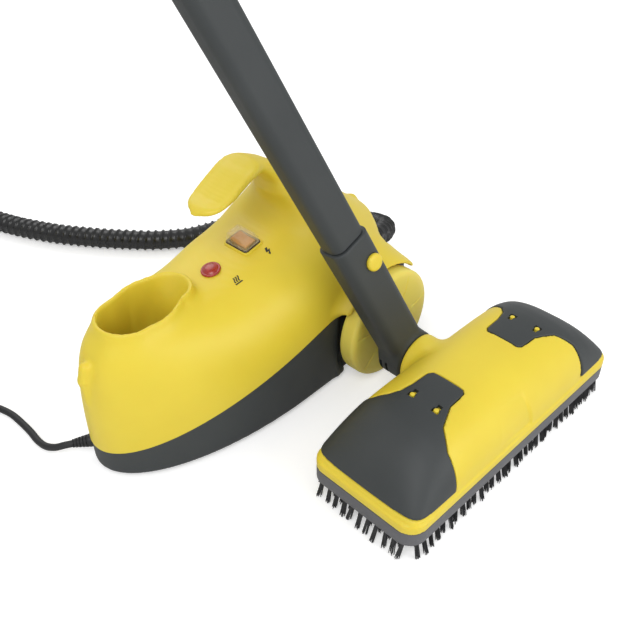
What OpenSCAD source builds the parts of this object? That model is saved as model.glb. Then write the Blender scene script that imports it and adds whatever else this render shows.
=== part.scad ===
/* [Canister placement] */
// Canister axle centre, along the brush
can_x = 17; // [0:1:30]
// Canister axle centre, behind the brush
can_y = 207; // [207:1:260]
// Turn of the canister about the vertical
can_yaw = 2; // [0:0.5:3]

/* [Canister body] */
// Half width of the body at its seam
body_half_w = 74.5; // [73:0.5:76]
// Length of the half ellipse that forms the nose
nose_a = 182; // [176:1:186]
// Where the nose ellipse begins, from the axle
nose_u = -92; // [-96:1:-88]
// Rear face of the body, from the axle
rear_u = 58; // [56:1:60]
// Height of the seam at the rear
seam_z = 84; // [82:1:86]
// Where the seam turns down towards the nose
seam_u = -47; // [-48:1:-46]
// Fall of the seam towards the nose
seam_fall = 0.24; // [0.2:0.01:0.26]
// Wall of the mouldings
wall = 3; // [2.5:0.1:3.2]
// Underside of the tub above the floor
tub_z = 4; // [4:0.5:5]
// How much narrower the tub is at its underside
tub_taper = 1; // [0.5:0.5:3]
// Half width of the tub between the wheels
waist_half_w = 69; // [67:1:71]
// Radius of the fender's inner face about the axle
fender_r = 58; // [57:0.5:59]
// Outer reach of the fenders
fender_v = 88; // [86:1:90]

/* [Handle] */
// Half width of the carrying handle
handle_half_w = 20.5; // [18:0.5:21]

/* [Filler well] */
// Top of the well's lip
rim_z = 147; // [146:0.5:149]
// Floor of the well
well_z = 80; // [79:0.5:82]
// Largest half width of the well
well_r = 23.5; // [23:0.5:25]
// Width of the lip
lip_w = 4; // [3.5:0.5:5]
// Front and rear centres of the well's plan
well_u = [-224, -198, -171]; // [-240:1:-160]

/* [Boiler] */
// Radius of the tank
tank_r = 34; // [30:0.5:34]
// Length of the tank
tank_len = 160; // [140:1:162]
// Centre of the tank, from the axle
tank_u = -142; // [-144:1:-140]
// Height of the tank's axis
tank_z = 43; // [43:0.5:44]
// Wall of the tank
tank_wall = 1.5; // [1:0.1:2]
// Place of the filler neck, from the axle
neck_u = -206; // [-208:1:-203]
// Radius of the neck's bore
neck_r = 12; // [10:0.5:12.5]
// Outer radius of the safety cap
cap_r = 19; // [18:0.5:19.5]
// Height of the safety cap
cap_h = 16; // [14:0.5:17]
// Height of the steam outlet
socket_z = 66; // [64:0.5:67]
// Outer radius of the steam outlet
socket_r = 13; // [12:0.5:14]

/* [Wheels] */
// Radius of a main wheel
wheel_r = 55; // [54:0.5:55.5]
// Width of a main wheel
wheel_w = 19; // [16:0.5:19]
// Inner face of a main wheel, from the centre plane
wheel_v = 80; // [80:0.5:82]
// Radius of the axle
axle_r = 4; // [3.5:0.1:5]
// Radius of the castor wheel
castor_r = 11; // [10:0.5:11.5]
// Width of the castor wheel
castor_w = 9; // [7:0.5:10]
// Place of the castor, from the axle
castor_u = -245; // [-247:1:-243]
// Trail of the castor
castor_trail = 5; // [3:0.5:5]

/* [Controls] */
// Place of the mains switch, from the axle
switch_u = -95; // [-98:1:-92]
// Place of the lamp, from the axle
lamp_u = -134; // [-137:1:-131]
// Radius of the lamp lens
lamp_r = 9; // [8:0.5:10]

/* [Wand] */
// Height of the swivel axis
pivot_z = 55; // [54:0.5:56]
// Place of the wand's foot, behind the brush centre
pivot_y = 74; // [74:0.5:76]
// Lean of the wand sideways, at rest
wand_lean = 23; // [20:0.5:26]
// Lean of the wand backwards, fixed by the elbow
wand_back = 12; // [10:0.5:14]
// Outer size of the elbow's socket end
socket_size = [38, 30]; // [36:0.5:40]
// Outer size of an extension tube
tube_size = [34, 26]; // [32:0.5:35]
// Size of the spigot that enters a socket
spigot_size = [28, 20]; // [26:0.5:28]
// Length from the swivel to the first joint
elbow_len = 149; // [147:1:155]
// Length of one extension tube
tube_len = 440; // [360:5:460]
// Depth of a plug-in joint
joint_depth = 44; // [40:1:46]
// Wall of an extension tube
tube_wall = 2; // [1.5:0.1:2.5]
// Radius of the steam pipe inside the wand
pipe_r = 5; // [4:0.5:5]
// Radius of a release button
button_r = 7.7; // [7:0.1:8.5]
// Distance of a release button below the joint line
button_drop = 28; // [26:0.5:30]
// Sideways place of a release button
button_x = 7; // [6:0.5:8]
// Travel of a release button
button_travel = 3; // [2:0.5:3]
// Radius of the collar round the swivel
collar_r = 24.5; // [22.5:0.5:25]
// Radius of the swivel spigot
swivel_r = 16; // [14:0.5:16]

/* [Steam gun] */
// Thickness of the gun across its two halves
gun_w = 34; // [32:0.5:38]
// Thickness of the trigger
trigger_w = 12; // [10:0.5:13]
// Swing of the trigger
trigger_swing = 10; // [6:1:10]

/* [Floor brush] */
// Half length of the brush
brush_half_l = 145; // [143:1:148]
// Half width of the brush
brush_half_w = 55.5; // [54:0.5:56]
// Corner radius of the brush
brush_corner = 16; // [13:1:20]
// Length of the bristles
bristle_len = 19; // [17:0.5:21]
// Height of the seam between rim and housing
brush_seam_z = 33; // [32:0.5:34]
// Top of the housing
brush_top_z = 91.5; // [90:0.5:93]
// Thickness of a cloth clip
clip_t = 3; // [2.5:0.1:3.5]
// Place of a clip's hinge pin, from the centre
clip_pin_x = 44; // [43.5:0.5:45]
// Depth of a clip's hinge pin below the housing's top
clip_pin_drop = 7; // [7:0.5:8]
// Clearance in which a clip's inner end swings
clip_swing = 1.4; // [1.3:0.1:1.6]

/* [Hose and mains cord] */
// Outer radius of the steam hose
hose_r = 12.5; // [11:0.5:13]
// Radius of the mains cord
cord_r = 3.25; // [3:0.25:3.5]
// Middle radius of the stored coil of cord
coil_r = 39; // [36:1:42]
// Half width of the coil's section
coil_half = 14; // [12:1:14]

/* [Hidden] */
// Gap between pieces that slide or turn past each other
gap = 0.3;
// Radial clearance of a turning fit
fit = 0.05;
// Small overlap that lets a cut break through a face
eps = 0.1;
shell_colour = "#E3D048";
grey = "#3E4242";
rim_grey = "#5E5E62";
black = "#17181A";
steel = "#B9BCC0";

// ---- places and shared shapes ----

module at_canister() translate([can_x, can_y, 0]) rotate([0, 0, can_yaw]) children();
module at_axle() translate([0, 0, wheel_r]) rotate([-90, 0, 0]) children();
module at_swivel() translate([0, pivot_y, pivot_z]) rotate([0, -wand_lean, 0]) children();
module at_wand(t = 0) at_swivel() rotate([-wand_back, 0, 0]) translate([0, 0, t]) children();
module at_switch() translate([switch_u, 0, body_top(switch_u)]) rotate([0, -12, 0]) children();
module at_lamp() translate([lamp_u, 0, body_top(lamp_u) + 0.5]) rotate([0, -14, 0]) children();
// A moulding of free curves, made as one closed skin
module moulding() minkowski() { union() children(); }

function power(x, p) = sign(x) * pow(abs(x), p);
function unit(v) = v / norm(v);

// A closed solid through rings that all have the same number of points
module loft(rings) {
    n = len(rings[0]);
    m = len(rings);
    sides = [for (i = [0:m - 2]) for (j = [0:n - 1])
        let (k = (j + 1) % n) each [[i * n + j, (i + 1) * n + j, (i + 1) * n + k],
            [i * n + j, (i + 1) * n + k, i * n + k]]];
    first = [[for (j = [0:n - 1]) j]];
    last = [[for (j = [n - 1:-1:0]) (m - 1) * n + j]];
    polyhedron([for (r = rings) each r], concat(first, sides, last), convexity = 10);
}

// A round tube along hand-set points
function tangent(p, i) = unit(p[min(i + 1, len(p) - 1)] - p[max(i - 1, 0)]);
function carried(n, t) = unit(n - (n * t) * t);
module sweep(p, r, sides) {
    start = carried([0, 0, 1], tangent(p, 0));
    normals = [for (i = 0, n = start; i < len(p); i = i + 1, n = i < len(p) ? carried(n, tangent(p, i))
        : n) n];
    loft([for (i = [0:len(p) - 1]) let (t = tangent(p, i), b = cross(t, normals[i]))
        [for (j = [0:sides - 1]) let (a = 360 * j / sides) p[i] + r * (cos(a) * normals[i] + sin(a) * b)]]);
}

// A rounded rectangle, centred
module round_rect(size, r) {
    square([size[0] - 2 * r, size[1]], center = true);
    square([size[0], size[1] - 2 * r], center = true);
    for (x = [-1, 1], y = [-1, 1])
        translate([x * (size[0] / 2 - r), y * (size[1] / 2 - r)]) circle(r = r, $fn = 32);
}
module round_bar(size, r, h) linear_extrude(height = h) round_rect(size, r);

module screw(r, head_r, length) {
    cylinder(r = head_r, h = 2.5, $fn = 24);
    translate([0, 0, 2.5 - eps]) cylinder(r = r, h = length, $fn = 24);
}

// ---- canister shell ----

function seam_at(u) = seam_z - seam_fall * max(0, seam_u - u);
// Height of the body's top along its centre plane
function body_top(u) = lookup(u, [[-276, 50], [-274, 66], [-271, 92], [-267, 112], [-262, 126], [-254, 137],
    [-244, 143], [-230, 147], [-172, 147], [-160, 138], [-143, 137.5], [-131, 140.5], [-118, 145],
    [-106, 148], [-90, 151], [-72, 157], [-60, 164], [-48, 171], [-36, 174], [-24, 172], [-10, 164],
    [4, 152], [20, 136], [36, 119], [50, 103], [58, 96]]);
function ellipse_w(u, w, a) = u > nose_u ? w : w * sqrt(max(0, 1 - pow((u - nose_u) / a, 2)));
function body_w(u, w, a) = ellipse_w(u, w, a) - lookup(u, [[-20, 0], [10, 3], [40, 10], [rear_u, 20]]);
NOSE_STEPS = [3, 8, 13, 18, 24, 30, 37, 45, 54, 63, 72, 81, 90];
REAR_STEPS = [0.18, 0.3, 0.42, 0.54, 0.66, 0.78, 0.89, 0.96, 1];
function body_stations(a, rear) = concat([for (s = NOSE_STEPS) nose_u - a * cos(s)],
    [for (s = REAR_STEPS) nose_u + (rear - nose_u) * s]);
ARCH_STEPS = 28;
function body_ring(u, w, a, drop, low) =
    let (hw = body_w(u, w, a), z0 = seam_at(u) - 4, z1 = body_top(u - drop) - drop)
    concat([for (i = [0:ARCH_STEPS]) let (t = 180 * i / ARCH_STEPS)
        [u, hw * power(cos(t), 0.68), z0 + (z1 - z0) * power(sin(t), 0.68)]],
        [[u, -hw, z0 - low], [u, hw, z0 - low]]);
module body_form(inset, low) loft([for (u = body_stations(nose_a - inset, rear_u - inset))
    body_ring(u, body_half_w - inset, nose_a - inset, inset, low)]);

// Handle and rump: outer point, inner point, half width, in the centre plane
HANDLE = [[-146, 204, -144.5, 201, 4], [-144, 206, -142, 200.5, 11], [-140, 208, -137, 201, 16],
    [-132, 211, -129, 202.5, 19], [-121, 217, -117, 207, 20.5], [-103, 227.5, -99, 216, 20.5],
    [-86, 231.5, -84, 219, 20.5], [-71, 229, -74, 215, 20.5], [-59, 221, -65, 204, 21],
    [-44, 208, -67, 192, 23], [-25, 193, -60, 178, 33], [0, 174, -54, 160, 41],
    [25, 155, -45, 136, 42], [42, 142, -35, 108, 42], [52, 134, -25, 92, 42], [57, 124, -18, 80, 42]];
RUMP_FROM = 9;
// Ridge down the nose: place from the axle, height, radius
NOSE_RIDGE = [[-268, 116, 5], [-271.5, 105, 4.5], [-272, 80, 2]];
function handle_ring(h, inset) =
    let (o = [h[0], 0, h[1]], i = [h[2], 0, h[3]], d = unit(o - i) * inset, c = (o + i) / 2,
        e = (o - i) / 2 - d, w = h[4] * handle_half_w / 20.5 - inset)
    [for (k = [0:27]) let (a = 360 * k / 28) c + power(sin(a), 0.75) * e + [0, power(cos(a), 0.75) * w, 0]];
module handle_form(inset, from) loft([for (k = [from:len(HANDLE) - 1]) handle_ring(HANDLE[k], inset)]);

module well_plan(grow) hull() {
    translate([well_u[0], 0]) circle(r = well_r + grow, $fn = 48);
    translate([well_u[1], 0]) circle(r = well_r - 4.5 + grow, $fn = 48);
    translate([well_u[2], 0]) circle(r = 7 + grow, $fn = 32);
}
module fender(side) intersection() {
    at_axle() rotate_extrude(angle = 106, start = -148, $fn = 96)
        polygon([[fender_r, side * 57], [fender_r + 8, side * 57], [fender_r + 7, side * 68],
            [fender_r + 5.5, side * 78], [fender_r + 3, side * fender_v], [fender_r, side * fender_v]]);
    translate([-70, -100, 60]) cube([150, 200, 120]);
}
module above_seam(lift) rotate([90, 0, 0]) linear_extrude(height = 260, center = true)
    polygon([[-300, seam_at(-300) + lift], [seam_u, seam_z + lift], [100, seam_z + lift], [100, 300],
        [-300, 300]]);

module upper_shell() color(shell_colour) at_canister() moulding() difference() {
    intersection() {
        union() {
            difference() {
                union() {
                    body_form(0, 12);
                    handle_form(0, 0);
                }
                body_form(wall, 20);
                handle_form(wall, RUMP_FROM);
            }
            for (side = [-1, 1]) fender(side);
            hull() for (p = NOSE_RIDGE) translate([p[0], 0, p[1]]) sphere(r = p[2], $fn = 24);
            intersection() {
                translate([0, 0, well_z - wall]) linear_extrude(height = rim_z - well_z + wall)
                    well_plan(lip_w);
                body_form(0.2, 20);
            }
            translate([0, 0, rim_z - 14]) linear_extrude(height = 14) well_plan(lip_w - 1);
        }
        above_seam(0);
    }
    translate([0, 0, well_z]) linear_extrude(height = 100) well_plan(0);
    translate([neck_u, 0, 0]) cylinder(r = neck_r + tank_wall + 2 + gap, h = 100, $fn = 48);
    at_switch() translate([0, 0, -10]) cube([17.4, 25.4, 30], center = true);
    at_lamp() translate([0, 0, -20]) cylinder(r = lamp_r - 2 + gap, h = 40, $fn = 40);
    translate([rear_u - 10, 0, socket_z]) rotate([0, 90, 0]) cylinder(r = socket_r + gap, h = 40, $fn = 40);
    // scoops beside the ridge of the nose
    for (side = [-1, 1]) translate([-281, side * 11, 96]) rotate([0, 0, side * 14]) scale([1, 0.7, 2.2])
        sphere(r = 10, $fn = 32);
}

// ---- canister tub ----

function tub_ring(w, a, back, z, inset) = concat(
    [for (s = [90:6:270]) [nose_u + (a - inset) * cos(s), (w - inset) * sin(s), z]],
    [[seam_u - inset, inset - w, z], [seam_u - inset, inset - waist_half_w, z],
        [back - 8, inset - waist_half_w, z],
        [back, inset - waist_half_w + 8, z], [back, waist_half_w - 8 - inset, z],
            [back - 8, waist_half_w - inset, z],
        [seam_u - inset, waist_half_w - inset, z], [seam_u - inset, w - inset, z]]);
module tub_form(inset, low) {
    w = body_half_w - tub_taper;
    loft([tub_ring(w - 2, nose_a - tub_taper - 3, rear_u - inset - 2, low, inset),
        tub_ring(w, nose_a - tub_taper, rear_u - inset, low + 4, inset),
        tub_ring(body_half_w, nose_a, rear_u - inset, seam_z + 8, inset)]);
}
module base_tub() color(grey) at_canister() moulding() difference() {
    union() {
        difference() {
            tub_form(0, tub_z);
            tub_form(wall, tub_z + wall);
        }
        // saddles under the boiler, castor well, axle carriers, splayed feet
        for (u = [-50, 50]) translate([tank_u + u - 3, -30, tub_z + 1]) cube([6, 60, 26]);
        translate([castor_u, 0, tub_z + 0.5]) cylinder(r = castor_trail + castor_r + 7, h = 26, $fn = 48);
        translate([castor_u, 0, tub_z]) cylinder(r = 11, h = 38, $fn = 40);
        for (v = [-1, 1]) translate([-10, v * (waist_half_w - 8) - 6, tub_z + 1])
            cube([20, 12, wheel_r + 8]);
        for (v = [-1, 1]) translate([seam_u - 3, v * (waist_half_w + 0.5) - 4.5, tub_z]) cube([11, 9, 9]);
    }
    above_seam(0);
    translate([tank_u, 0, tank_z]) rotate([0, 90, 0]) cylinder(r = tank_r, h = tank_len + 60,
        center = true, $fn = 72);
    translate([castor_u, 0, -1]) cylinder(r = castor_trail + castor_r + 4, h = tub_z + 24, $fn = 48);
    translate([castor_u, 0, -1]) cylinder(r = 9 - eps, h = 60, $fn = 40);
    translate([0, 0, wheel_r]) rotate([90, 0, 0]) cylinder(r = axle_r + 3 - eps, h = 160, center = true,
        $fn = 48);
    translate([rear_u - 10, 0, socket_z]) rotate([0, 90, 0]) cylinder(r = socket_r - eps, h = 40, $fn = 40);
    at_gland() translate([0, 0, -10]) cylinder(r = 6 - eps, h = 24, $fn = 32);
    for (p = SCREWS) translate([p[0], p[1], -1]) cylinder(r = 3.4, h = tub_z + 2, $fn = 24);
}
SCREWS = [[-195, -40], [-195, 40], [30, -50], [30, 50]];
module base_screws() color(steel) at_canister()
    for (p = SCREWS) translate([p[0], p[1], tub_z - 1.5]) screw(1.9, 3.3, 12);

// ---- boiler and steam parts ----

module boiler_tank() color(steel) at_canister() {
    r = tank_r;
    difference() {
        union() {
            translate([tank_u - tank_len / 2, 0, tank_z]) rotate([0, 90, 0]) {
                cylinder(r = r - 8, h = tank_len, $fn = 72);
                translate([0, 0, 8]) cylinder(r = r, h = tank_len - 16, $fn = 72);
                cylinder(r1 = r - 8, r2 = r, h = 8 + eps / 10, $fn = 72);
                translate([0, 0, tank_len - 8 - eps / 10]) cylinder(r1 = r, r2 = r - 8, h = 8 + eps / 10,
                    $fn = 72);
            }
            translate([neck_u, 0, tank_z]) cylinder(r = neck_r + tank_wall, h = well_z + 10 - tank_z,
                $fn = 48);
        }
        translate([tank_u - tank_len / 2 + tank_wall, 0, tank_z]) rotate([0, 90, 0]) {
            translate([0, 0, 8]) cylinder(r = r - tank_wall, h = tank_len - 16 - 2 * tank_wall, $fn = 72);
        }
        translate([neck_u, 0, tank_z]) cylinder(r = neck_r, h = 100, $fn = 48);
        translate([tank_u + tank_len / 2 - 20, 0, tank_z]) rotate([0, 90, 0])
            cylinder(r = 14, h = 40, $fn = 48);
    }
}
cap_z = well_z + 1;
module safety_cap() color(black) at_canister() translate([neck_u, 0, 0]) difference() {
    union() {
        translate([0, 0, cap_z]) cylinder(r = cap_r - 1.5, h = cap_h, $fn = 48);
        for (a = [0:20:340]) rotate([0, 0, a]) translate([cap_r - 1.5, 0, cap_z])
            cylinder(r = 1.5, h = cap_h, $fn = 16);
    }
    translate([0, 0, cap_z - eps]) cylinder(r = neck_r + tank_wall + fit, h = cap_h - 4.5, $fn = 48);
}
module cap_washer() color(black) at_canister() translate([neck_u, 0, well_z + 10 + 0.1]) difference() {
    cylinder(r = neck_r + 1, h = 2, $fn = 48);
    translate([0, 0, -1]) cylinder(r = neck_r - 4, h = 4, $fn = 48);
}
module heating_element() color(steel) at_canister() translate([tank_u + tank_len / 2, 0, tank_z])
    rotate([0, 90, 0]) {
    cylinder(r = 20, h = 2.5, $fn = 48);
    translate([0, 0, -12]) cylinder(r = 14 - fit, h = 12 + eps, $fn = 48);
    for (y = [-8, 8]) translate([4, y, -100]) cylinder(r = 3.5, h = 90, $fn = 32);
    for (y = [-8, 8]) translate([0, y, 2.5 - eps]) cylinder(r = 2, h = 12, $fn = 24);
    translate([4, 0, -100]) rotate([90, 0, 90]) rotate_extrude(angle = 180, start = 180, $fn = 48)
        translate([8, 0]) circle(r = 3.5, $fn = 32);
}
module thermostat() color(black) at_canister() translate([tank_u + 35, 0, tank_z + tank_r - 0.5]) {
    cylinder(r = 8, h = 8, $fn = 40);
    translate([0, 0, 4]) cube([22, 5, 2], center = true);
}
module thermal_fuse() color(steel) at_canister() translate([tank_u + 8, 0, tank_z + tank_r - 0.5]) {
    cylinder(r = 5, h = 6, $fn = 32);
    translate([0, 0, 3]) cube([16, 3, 1.5], center = true);
}
module pressure_switch() color(grey) at_canister() translate([tank_u + tank_len / 2 + 4, 30, tank_z]) {
    difference() {
        translate([-0.5, 0, 0]) rotate([0, 90, 0]) cylinder(r = 11, h = 20, $fn = 40);
        translate([-2, 0, 0]) rotate([0, 90, 0]) cylinder(r = 3, h = 10, $fn = 24);
    }
    translate([-21, 0, 0]) rotate([0, 90, 0]) cylinder(r = 3, h = 24, $fn = 24);
    translate([6, -8, -tank_z + tub_z + wall]) cube([6, 16, tank_z - tub_z - wall - 8]);
}
valve_u = -22;
module solenoid_valve() color(grey) at_canister() translate([valve_u, -12, 0]) {
    translate([-13, -13, tub_z + wall]) cube([26, 26, 34]);
    translate([0, 0, tub_z + wall + 34 - eps]) cylinder(r = 9, h = 27, $fn = 40);
    translate([-13, 0, 62]) rotate([0, 90, 0]) cylinder(r = 3.5, h = 30, $fn = 24);
}
module steam_pipe() color("#C58A4A") at_canister() {
    sweep([[valve_u + 16, -12, 62], [valve_u + 26, -11, 63], [valve_u + 38, -6, 65],
        [valve_u + 48, -2, socket_z],
        [rear_u - 19, 0, socket_z], [rear_u - 13, 0, socket_z]], 3, 12);
    sweep([[valve_u - 12, -12, 62], [valve_u - 22, -12, 64], [valve_u - 32, -10, 74], [valve_u - 46, -6, 82],
        [valve_u - 60, -3, 82], [valve_u - 68, 0, 75]], 3, 12);
}
module hose_socket() color(black) at_canister() translate([rear_u - 14, 0, socket_z]) rotate([0, 90, 0])
    difference() {
    union() {
        cylinder(r = socket_r, h = 20, $fn = 48);
        translate([0, 0, 7]) cylinder(r = socket_r + 2, h = 3.5, $fn = 48);
    }
    translate([0, 0, -1]) cylinder(r = 6, h = 30, $fn = 40);
}
module terminal_block() color("#D9D5C8") at_canister() translate([8, 20, tub_z + wall]) {
    cube([34, 18, 16]);
    for (k = [0:2]) translate([6 + 11 * k, 9, 16 - eps]) cylinder(r = 3, h = 3, $fn = 24);
}
module wire_loom() color("#A23A2A") at_canister() {
    sweep([[14, 29, 24], [14, 34, 44], [6, 36, 66], [-16, 36, 78], [-45, 34, 100], [-70, 22, 118],
        [-88, 8, 126], [-91, 5, 129.5]], 1.2, 8);
    sweep([[25, 29, 24], [22, 38, 40], [12, 40, 66], [-10, 42, 76], [-50, 44, 90], [-90, 36, 102],
        [-122, 12, 110], [-130, 3, 117]], 1.2, 8);
    sweep([[36, 29, 24], [34, 20, 30], [20, 8, 34], [4, -2, 36], [-8, -6, 38]], 1.2, 8);
}

// ---- switch and lamp ----

module switch_frame() color("#C9B44A") at_canister() at_switch() difference() {
    union() {
        translate([0, 0, -20]) round_bar([17, 25], 2, 20 + eps);
        translate([0, 0, -1]) round_bar([23, 31], 4, 3.5);
    }
    translate([0, 0, -8]) round_bar([13, 21], 1, 20);
    translate([-20, 0, 0]) rotate([0, 90, 0]) cylinder(r = 1.5 + fit, h = 40, $fn = 32);
}
rocker_tilt = 6;
module switch_rocker() color("#8A5A2A") at_canister() at_switch() rotate([rocker_tilt, 0, 0]) {
    difference() {
        translate([-6.2, 0, 0]) rotate([90, 0, 90]) linear_extrude(height = 12.4)
            polygon([[-9.6, 1.5], [-9.6, 5], [0, 3.6], [9.6, 5], [9.6, 1.5], [2.5, -3.5], [-2.5, -3.5]]);
        translate([-20, 0, 0]) rotate([0, 90, 0]) cylinder(r = 1.5 - fit, h = 40, $fn = 32);
    }
    translate([-7.6, 0, 0]) rotate([0, 90, 0]) cylinder(r = 1.5 - eps / 10, h = 15.2, $fn = 32);
}
module splash_cover() color([1, 0.8, 0.45, 0.5]) at_canister() at_switch() translate([0, 0, 2.5])
    difference() {
    union() {
        round_bar([19, 27], 3, 4);
        translate([0, 0, 4 - eps]) round_bar([16.5, 24.5], 3, 5);
    }
    translate([0, 0, -1]) round_bar([14.5, 22.5], 2, 8.6);
}
module lamp_lens() color("red") at_canister() at_lamp() difference() {
    union() {
        cylinder(r = lamp_r, h = 1.2, $fn = 48);
        translate([0, 0, 1.2 - eps]) cylinder(r1 = lamp_r, r2 = lamp_r - 3, h = 2, $fn = 48);
        translate([0, 0, -6]) cylinder(r = lamp_r - 2, h = 6 + eps, $fn = 48);
    }
    translate([0, 0, -7]) cylinder(r = lamp_r - 3.5, h = 7, $fn = 48);
}
module lamp_body() color("#D9D5C8") at_canister() at_lamp() translate([0, 0, -20]) {
    cylinder(r = lamp_r - 3.6, h = 19, $fn = 40);
    translate([0, 0, 12]) cylinder(r = lamp_r - 2.2, h = 1.9, $fn = 40);
}

// ---- running gear ----

module wheel(side) color(shell_colour) at_canister() at_axle() scale([1, 1, side]) difference() {
    union() {
        translate([0, 0, wheel_v]) rotate_extrude($fn = 96) polygon([[0, 0], [wheel_r - 2, 0], [wheel_r, 2],
            [wheel_r, wheel_w - 5], [wheel_r - 0.8, wheel_w - 3], [wheel_r - 3, wheel_w - 1.2],
            [wheel_r - 8, wheel_w - 0.4], [wheel_r - 20, wheel_w], [0, wheel_w]]);
    }
    translate([0, 0, wheel_v - 1]) cylinder(r = wheel_r - 4, h = 5, $fn = 96);
    translate([0, 0, wheel_v - 1]) cylinder(r = axle_r + fit, h = wheel_w - 3, $fn = 48);
}
module wheel_near() wheel(-1);
module wheel_far() wheel(1);
module rear_axle() color(steel) at_canister() at_axle()
    translate([0, 0, -(wheel_v + wheel_w - 5)]) cylinder(r = axle_r, h = 2 * (wheel_v + wheel_w - 5),
        $fn = 48);
module axle_bushes() color(black) at_canister() at_axle() for (side = [-1, 1])
    translate([0, 0, side * (waist_half_w - 7) - 7.5]) difference() {
        cylinder(r = axle_r + 3, h = 15, $fn = 48);
        translate([0, 0, -1]) cylinder(r = axle_r, h = 20, $fn = 48);
    }
module axle_caps() color(steel) at_canister() at_axle() for (side = [-1, 1])
    translate([0, 0, side * (wheel_v + 1) - 1]) difference() {
        cylinder(r = axle_r + 3, h = 2, $fn = 32);
        translate([0, 0, -1]) cylinder(r = axle_r, h = 4, $fn = 32);
    }
module castor_fork() color(grey) at_canister() translate([castor_u, 0, 0]) {
    top = 2 * castor_r + 2;
    difference() {
        union() {
            translate([0, 0, top]) cylinder(r = 11, h = 2.4, $fn = 40);
            translate([0, 0, top + 2]) cylinder(r = 5, h = tub_z + 37 - top - 2, $fn = 40);
            for (side = [-1, 1]) translate([-3, side * (castor_w / 2 + 1.6) - 1.2, castor_r - 4])
                cube([11, 2.4, top - castor_r + 4.2]);
        }
        translate([castor_trail, 0, castor_r]) rotate([90, 0, 0])
            cylinder(r = 2, h = 40, center = true, $fn = 32);
    }
    translate([castor_trail, 0, castor_r]) rotate([90, 0, 0])
        cylinder(r = 2, h = castor_w + 6, center = true, $fn = 32);
}
module castor_wheel() color(black) at_canister() translate([castor_u + castor_trail, 0, castor_r])
    rotate([90, 0, 0]) difference() {
    cylinder(r = castor_r, h = castor_w, center = true, $fn = 64);
    cylinder(r = 2 + fit, h = castor_w + 2, center = true, $fn = 40);
}
module castor_bush() color(black) at_canister() translate([castor_u, 0, tub_z + 25]) difference() {
    cylinder(r = 9, h = 12.5, $fn = 48);
    translate([0, 0, -1]) cylinder(r = 5 + fit, h = 20, $fn = 48);
}

// ---- mains cord ----

gland_u = -263;
module at_gland() translate([gland_u, 21, 16]) rotate([0, 0, 140]) rotate([0, 98, 0]) children();
module cord_gland() color(black) at_canister() at_gland() {
    translate([0, 0, -6]) cylinder(r = 6, h = 10, $fn = 40);
    translate([0, 0, 4 - eps / 10]) cylinder(r1 = 6, r2 = cord_r + 0.6, h = 16, $fn = 40);
}
CORD = [[-262, 231, 13], [-268, 236, 11.5], [-274, 243, 8], [-278, 253, 5], [-279, 265, 3.6],
    [-278, 280, 3.5], [-278, 296, 3.5],
    [-279, 312, 3.5], [-283, 327, 3.5], [-289, 341, 3.5], [-298, 353, 3.5], [-309, 362, 3.5], [-318, 369, 5],
    [-326, 379, 7]];
CORD_END = [[-389, 449, 10], [-400, 455, 9], [-413, 457, 8], [-428, 454, 9], [-439, 446, 10.5],
    [-445, 434, 11],
    [-446, 423, 11]];
COIL_CENTRE = [-372, 400];
module mains_cord() color(black) {
    sweep(CORD, cord_r, 8);
    sweep(CORD_END, cord_r, 8);
}
module cord_coil() color(black) translate([COIL_CENTRE[0], COIL_CENTRE[1], 1.6]) rotate_extrude($fn = 72)
    polygon([[coil_r - coil_half + 5, 0], [coil_r + coil_half - 5, 0], [coil_r + coil_half, 5],
        [coil_r + coil_half, 2 * coil_half - 5], [coil_r + coil_half - 5, 2 * coil_half],
        [coil_r - coil_half + 5, 2 * coil_half], [coil_r - coil_half, 2 * coil_half - 5],
            [coil_r - coil_half, 5]]);
module cord_tie() color(grey) translate([COIL_CENTRE[0], COIL_CENTRE[1] - coil_r, 1.6 + coil_half])
    rotate([0, 90, 90]) rotate([0, 90, 0])
    difference() {
        translate([0, 0, -4]) round_bar([2 * coil_half + 2.6, 2 * coil_half + 2.6], 4, 8);
        translate([0, 0, -5]) round_bar([2 * coil_half + 0.2, 2 * coil_half + 0.2], 3, 10);
    }
module mains_plug() color(black) translate([-446, 423, 11]) rotate([90, 0, 0]) {
    cylinder(r1 = 5.5, r2 = 9, h = 12, $fn = 40);
    translate([0, 0, 12 - eps / 10]) round_bar([36, 18], 8.5, 24);
    for (x = [-9.5, 9.5]) translate([x, 0, 36 - eps]) cylinder(r = 2.3, h = 19, $fn = 24);
}

// ---- steam hose ----

HOSE = [[99, 210, 66], [118, 212, 65], [139, 221, 58], [157, 236, 48], [170, 258, 37], [177, 285, 25],
    [177, 315, 17],
    [168, 346, 13], [150, 374, 13], [122, 394, 13], [88, 405, 13], [52, 410, 13], [17, 420, 13],
        [-19, 447, 13],
    [-58, 493, 13], [-91, 540, 13], [-115, 587, 13], [-131, 631, 13], [-150, 675, 13], [-185, 712, 13],
    [-235, 734, 13], [-290, 736, 13], [-341, 718, 13], [-379, 682, 13], [-400, 635, 13], [-408, 585, 18],
    [-410, 548, 38], [-409, 522, 82], [-407, 508, 140], [-405, 500, 210], [-403, 496, 300], [-402, 494, 400],
    [-401, 493, 520], [-401, 493, 640], [-401, 493, 760], [-402, 493, 860], [-402, 493, 915],
        [-403, 490, 955],
    [-404, 483, 988], [-407, 470, 1014], [-413, 448.6, 1028.3]];
module steam_hose() color(black) sweep(HOSE, hose_r, 10);
module hose_cuff() color(black) at_canister() translate([rear_u + 6, 0, socket_z]) rotate([0, 90, 0]) {
    cylinder(r = socket_r, h = 6, $fn = 48);
    translate([0, 0, 6 - eps / 10]) cylinder(r = hose_r + 2, h = 12, $fn = 48);
}
module gun_cuff() color(black) at_gun() at_butt() translate([0, 0, -6]) {
    cylinder(r = 12, h = 9, $fn = 48);
    translate([0, 0, 9 - eps / 10]) cylinder(r = hose_r + 2, h = 12, $fn = 48);
}

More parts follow.
